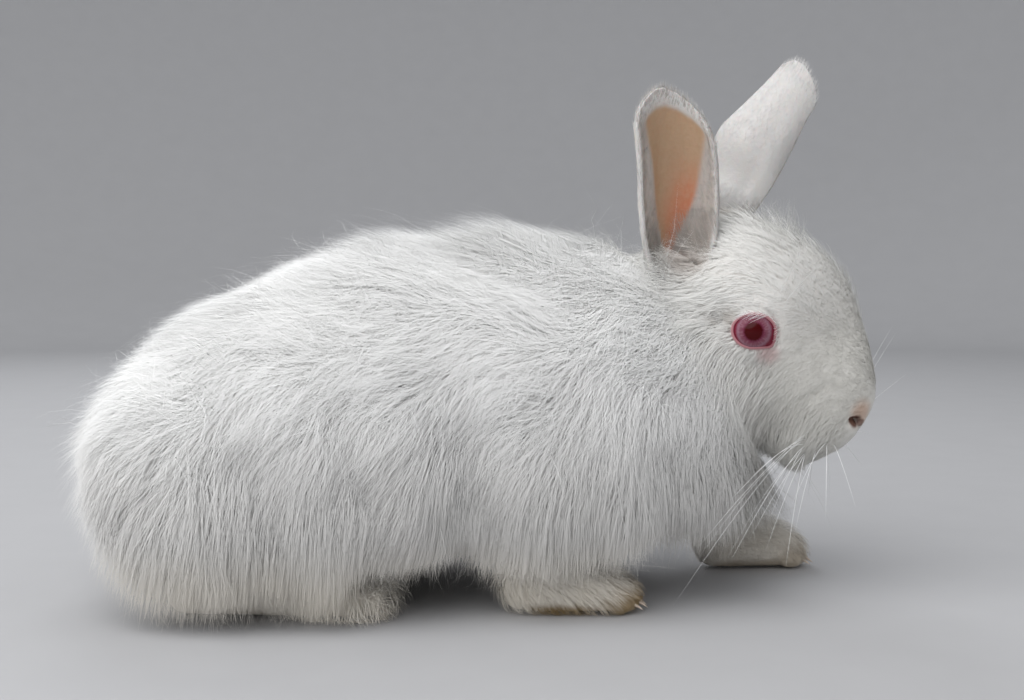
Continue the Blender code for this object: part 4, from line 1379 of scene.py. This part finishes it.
def wool(field, sown, finish):
    """The long fine hairs over the down, in soft wisps, with some that stand out loose."""
    rng = np.random.default_rng(19)
    roots = sown.sow("body", wool_thickness(WOOL_DENSITY))
    p, out = roots["at"], roots["out"]
    count = len(p)
    reach = rng.uniform(0, 1, count) ** 0.8
    depth = coat_depth(p, out)
    flank = step(74, 40, p[:, 2]) * step(-0.6, 0.1, out[:, 2])
    low = hanging(p, out)
    loose = rng.uniform(0, 1, count) < 0.11
    upright, near_head = cloudy(p), ruff(p)
    height = depth * (0.78 + 0.24 * reach)
    above = step(0.2, 0.7, out[:, 2])
    lift = rng.uniform(0, 1, count) ** 2 * (3 + 6 * above) * (1 - 0.5 * low)
    height = np.where(loose, height + lift, height)
    length = height * (rng.uniform(1.4, 1.9, count) - 0.1 * upright) + 4 + 3 * flank + 8 * near_head
    length = length + 20 * low * rng.uniform(0.5, 1.0, count)
    length = np.where(loose, length * 1.15, length)
    stray = rng.normal(size=(count, 3)) * np.where(loose, 0.85, 0.4 + 0.08 * upright + 0.26 * low)[:, None]
    path, outs = grow(field, roots, length, height, coat_way, np.full(count, 0.85), stray, 0.6, 5)
    path = trimmed(path, rng.normal(size=count) * 3.0 - 6 * rng.uniform(0, 1, count) ** 3, hem)
    bound = np.where(loose, 0.0, 1.0)
    pull = bound * rng.uniform(0.0, 0.4, count) * (0.25 + 0.75 * flank)
    path = gathered(rng, path, sown.sown_area, 14.0, pull)
    pull = bound * rng.uniform(0.0, 0.4, count) * flank
    path = gathered(rng, path, sown.sown_area, 4.5, pull)
    size = rng.uniform(0.5, 1.9, count) * (1 + 1.2 * low + 0.8 * loose) * (1 - 0.85 * near_head)
    path = curled(rng, path, outs, size, rng.uniform(0.4, 1.4, count) + 0.7 * low)
    path[:, :, 2] = np.maximum(path[:, :, 2], 0.4)
    width = rng.uniform(0.08, 0.13, count) * np.where(loose, 0.8, 1)
    laid("wool", "wool", roots, path, outs, width, finish, rng, p[:, 0])


def face_coat(field, sown, finish):
    """The short fur of the head, longest on the cheeks and none on lids and nostrils."""
    rng = np.random.default_rng(23)

    def thick(p, facing):
        q = to_head(p)
        side = np.where(q[:, 1] < 0, -1.0, 1.0)
        in_eye = np.zeros(len(q), bool)
        for s in (-1, 1):
            u, v, away = eye_plane(q, s)
            in_eye |= (lid_ratio(u, v) < 1.04) & (away > 0)
        mirrored = q * np.stack((1 + 0 * side, side, 1 + 0 * side), -1)
        nostril = np.linalg.norm(mirrored - NOSTRIL, axis=1)
        near_eye = bell(mirrored, (0, 27, 0), (11, 11, 11))
        behind = step(-38, -43, q[:, 0])
        much = FACE_DENSITY + 2.5 * step(20, 42, q[:, 0]) + 3 * near_eye + 1.5 * step(8, 18, q[:, 2])
        slit = np.linalg.norm(mirrored - NOSTRIL - (2.0, -2.2, -0.8), axis=1)
        return np.where(in_eye | (nostril < 2.7) | (slit < 2.4), 0, much) * (1 - 0.7 * behind)

    roots = sown.sow("head", thick)
    p = roots["at"]
    count = len(p)
    q = to_head(p)
    length = face_fur(q) * rng.uniform(0.7, 1.3, count)
    cup = bell(p, ear_point("right", np.array((0.2,)), np.array((0.0,)))[0] + (3, -4, -2), (11, 13, 13))
    length *= 1 + 0.5 * cup
    bristle = bell(q, (-12, 0, 28), (16, 16, 9)) + 0.6 * bell(q, (16, 0, 28), (14, 10, 8))
    bristle = bristle * (rng.uniform(0, 1, count) < 0.2)
    length *= 1 + 1.1 * bristle
    over = rng.uniform(0, 1, count)
    crown = step(8, 20, q[:, 2])
    height = length * (0.18 + 0.22 * over - 0.08 * crown * over + 0.35 * bristle)
    height *= 1 + 0.5 * step(9, 18, length)
    stray = rng.normal(size=(count, 3)) * (0.14 + 0.1 * bristle)[:, None]
    path, outs = grow(field, roots, length, height, face_way, np.full(count, 0.35), stray, 0.7, 3)
    path = gathered(rng, path, sown.sown_area, 2.6, rng.uniform(0.0, 0.5, count) * step(4, 12, length))
    path = curled(rng, path, outs, length * 0.03, rng.uniform(0.2, 0.7, count))
    width = 0.21 - 0.11 * over
    laid("face_fur", "face_fur", roots, path, outs, width, finish, rng, q[:, 0], roll=0.4, softness=0.88)


def ear_coat(sown, finish, shaded_lining):
    """Velvet on the back and the edges of each ear, and long fine hairs across the root of its cup."""
    rng = np.random.default_rng(29)
    every = sown.sow("ear", lambda p, facing: np.full(len(p), EAR_DENSITY))
    t = np.linspace(0, 1, 4)[None, :, None]
    for side in EARS:
        mine = near_ear(side, every["at"])
        roots = {key: value[mine] for key, value in every.items()}
        p, out = roots["at"], roots["out"]
        z_axis, _, x_axis = ear_axes(EARS[side]["along"], EARS[side]["opens"])
        share, across, inner = ear_place(side, p, out)
        bare, _ = ear_bare(side, share, across)
        root_hair = inner * step(0.50, 0.26, share) * (0.35 + 0.65 * step(0.3, -0.3, across))
        chance = np.where(inner, 0.6 * (1 - step(0.0, 0.6, bare)), 1.0)
        chance = np.maximum(chance, 0.12 * root_hair) * np.where(inner & (share < 0.24), 0.25, 1)
        chosen = rng.uniform(0, 1, len(p)) < chance
        roots = {key: value[chosen] for key, value in roots.items()}
        p, out, across, inner = p[chosen], out[chosen], across[chosen], inner[chosen]
        share, bare, root_hair = share[chosen], bare[chosen], root_hair[chosen]
        thin = inner & (bare > 0.5)
        edge = step(0.72, 0.97, np.abs(across)) + step(0.86, 0.97, share)
        length = np.where(inner, 1.5 + 8.5 * root_hair, 2.0 + 3.0 * step(0.35, 0.05, share)) + 0.7 * edge
        length = length * rng.uniform(0.7, 1.25, len(p))
        lean = np.where(inner, 0.34 + 0.1 * root_hair, 0.2)
        way = z_axis + short_waves.at(p) * 0.1 + rng.normal(size=p.shape) * 0.08
        way = way + np.where(inner, root_hair * 0.6, 0)[:, None] * x_axis
        way = unit(way - out * (way * out).sum(1)[:, None]) * (1 - lean[:, None]) + out * lean[:, None]
        bend = z_axis[None, :] * 0.3 - out * 0.3
        swing = unit(way)[:, None] * t + bend[:, None] * t**2 * 0.5
        path = p[:, None] - out[:, None] * 0.2 + swing * length[:, None, None]
        width = np.where(thin | (root_hair > 0.4), 0.07, 0.13) * rng.uniform(0.8, 1.2, len(p))
        outs = np.repeat(out[:, None], 4, 1)
        form = {"roll": 0.4, "softness": 0.8}
        for name, own, hair in (("ear_fur_", ~inner, finish), ("ear_lining_", inner, shaded_lining)):
            mine = {key: value[own] for key, value in roots.items()}
            ribbons = (path[own], outs[own], width[own])
            laid(name + side, "face_fur", mine, *ribbons, hair, rng, -share[own], **form)


def paw_coat(field, sown, finish):
    """The fur of legs and feet, longest on the hind feet and on the outer side of the near foreleg."""
    rng = np.random.default_rng(37)

    def thick(p, facing):
        shown = np.where(p[:, 0] > -20, 1.0, 0.4 + 0.5 * step(-76, -60, p[:, 0])) * (p[:, 2] < 36)
        return PAW_DENSITY * step(-0.8, -0.5, facing[:, 2]) * shown

    roots = sown.sow("paw", thick)
    p = roots["at"]
    count = len(p)
    over = step(-0.3, 0.6, roots["out"][:, 2])
    near = (p[:, 1] < 0) * (p[:, 0] > -10) * step(36, 28, p[:, 0])
    hind = (p[:, 0] < -20) * step(-80, -55, p[:, 0])
    length = 2.6 + 6.0 * step(10, 22, p[:, 2]) + 3.6 * over + 3.4 * near + 9 * hind
    length = length * rng.uniform(0.7, 1.3, count)
    height = length * (0.28 + 0.3 * rng.uniform(0, 1, count))
    stray = rng.normal(size=(count, 3)) * (0.2 + 0.4 * hind)[:, None] + hind[:, None] * (-0.5, 0, -0.8)
    path, outs = grow(field, roots, length, height, paw_way, np.full(count, 0.4), stray, 0.7, 3)
    path = gathered(rng, path, sown.sown_area, 2.4, rng.uniform(0.0, 0.5, count))
    path[:, :, 2] = np.maximum(path[:, :, 2], 0.3)
    laid("paw_fur", "paw_fur", roots, path, outs, rng.uniform(0.12, 0.2, count), finish, rng, p[:, 0])


def floor():
    """A pale floor that curves up all round into a plain backdrop."""
    clear_selection()
    bpy.ops.mesh.primitive_grid_add(x_subdivisions=96, y_subdivisions=96, size=2)
    obj = bpy.context.object
    obj.name = "floor"
    x, y, _ = coordinates(obj).T
    ring = np.maximum(np.abs(x), np.abs(y))
    around = unit(np.stack((x, y), -1)) * (ring * 2.6)[:, None]
    move_to(obj, np.stack((around[:, 0], around[:, 1], 2.2 * step(0.55, 1.25, ring)), -1))
    only(obj)
    bpy.ops.object.shade_smooth()
    made = Finish("floor_finish", Roughness=0.8)
    grain = made.place.noise(35, 3.0)
    made.link("Base Color", grain.mix((0.46, 0.46, 0.47, 1), (0.49, 0.49, 0.50, 1)))
    obj.data.materials.append(made.material)


# The view of the photo: its width and focal length in pixels, how far above its middle the level line of
# sight lies, and where the camera stands in the plan.
PHOTO_WIDTH = 1024
FOCAL_LENGTH = 1350
LEVEL_LINE = 83
CAMERA_AT = (0, -450, 108)
SENSOR = 36


def soft_light(name, at, towards, size, power, colour=(1, 1, 1)):
    """A round area light turned towards a place."""
    light = bpy.data.lights.new(name, "AREA")
    light.shape = "DISK"
    light.size = size
    light.energy = power
    light.color = colour
    obj = bpy.data.objects.new(name, light)
    obj.location = at
    obj.rotation_euler = (Vector(towards) - Vector(at)).to_track_quat("-Z", "Y").to_euler()
    bpy.context.scene.collection.objects.link(obj)


def studio():
    """Floor, three soft lights, a pale room and the camera."""
    floor()
    middle = (0, 0, 0.08)
    soft_light("key", (-0.60, -0.80, 1.02), middle, 1.9, 23.5)
    soft_light("front", (0.95, -0.65, 0.55), middle, 0.8, 1.2, (1.0, 0.98, 0.96))
    soft_light("back", (-0.3, 0.9, 0.9), middle, 0.8, 3.0, (0.95, 0.97, 1.0))
    world = bpy.data.worlds.new("room")
    bpy.context.scene.world = world
    world.use_nodes = True
    world.node_tree.nodes["Background"].inputs["Color"].default_value = (0.88, 0.90, 0.93, 1)
    world.node_tree.nodes["Background"].inputs["Strength"].default_value = 0.5
    bpy.context.scene.view_settings.view_transform = "Standard"
    camera = bpy.data.cameras.new("camera")
    camera.sensor_width = SENSOR
    camera.lens = SENSOR * FOCAL_LENGTH / PHOTO_WIDTH
    camera.clip_start, camera.clip_end = 0.01, 20
    obj = bpy.data.objects.new("camera", camera)
    obj.location = placed(CAMERA_AT)
    obj.rotation_euler = (math.pi / 2 - math.atan(LEVEL_LINE / FOCAL_LENGTH), 0, 0)
    bpy.context.scene.collection.objects.link(obj)
    bpy.context.scene.camera = obj


finishes = {
    "body": skin_finish("body_skin", "body", (0.90, 0.88, 0.86, 1)),
    "head": skin_finish("face_skin", "head", (0.90, 0.87, 0.84, 1)),
    "ear": ear_skin_finish(),
    "paw": skin_finish("paw_skin", "paw", (0.88, 0.83, 0.74, 1)),
}
hide = skin(finishes)
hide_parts(*[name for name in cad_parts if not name.startswith("eye")])
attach(hide, "root")
field = Field(hide)
sown = Roots(hide, 5)
wool_finish = coat_finish("wool", "body", WHITE, 0.8)
# Painted shade: the face's short white fur a little darker than the body's wool.
shaded_fur_finish = coat_finish("short_fur", "head", (0.88, 0.875, 0.85, 1), 0.72)
paw_finish = coat_finish("paw_fur", "paw", (0.92, 0.905, 0.87, 1), 0.75)
# Painted shade: the ears' white fur greyer than the body's wool, and the hair inside the cups darker still.
shaded_velvet = coat_finish("ear_velvet", "ear", (0.63, 0.62, 0.61, 1), 0.8)
shaded_lining = coat_finish("ear_lining", "ear", (0.42, 0.39, 0.36, 1), 0.8)
down(field, sown, wool_finish)
wool(field, sown, wool_finish)
face_coat(field, sown, shaded_fur_finish)
ear_coat(sown, shaded_velvet, shaded_lining)
paw_coat(field, sown, paw_finish)
for side in (-1, 1):
    eyeball(side)
hair = Finish("whisker", Base_Color=(0.95, 0.95, 0.95, 1), Roughness=0.35)
whiskers(hair.material)
lashes(hair.material)
horn = Finish("claw", Roughness=0.35)
horn.link("Base Color", horn.place.noise(300).mix((0.62, 0.50, 0.40, 1), (0.74, 0.64, 0.54, 1)))
claws(horn.material)
studio()
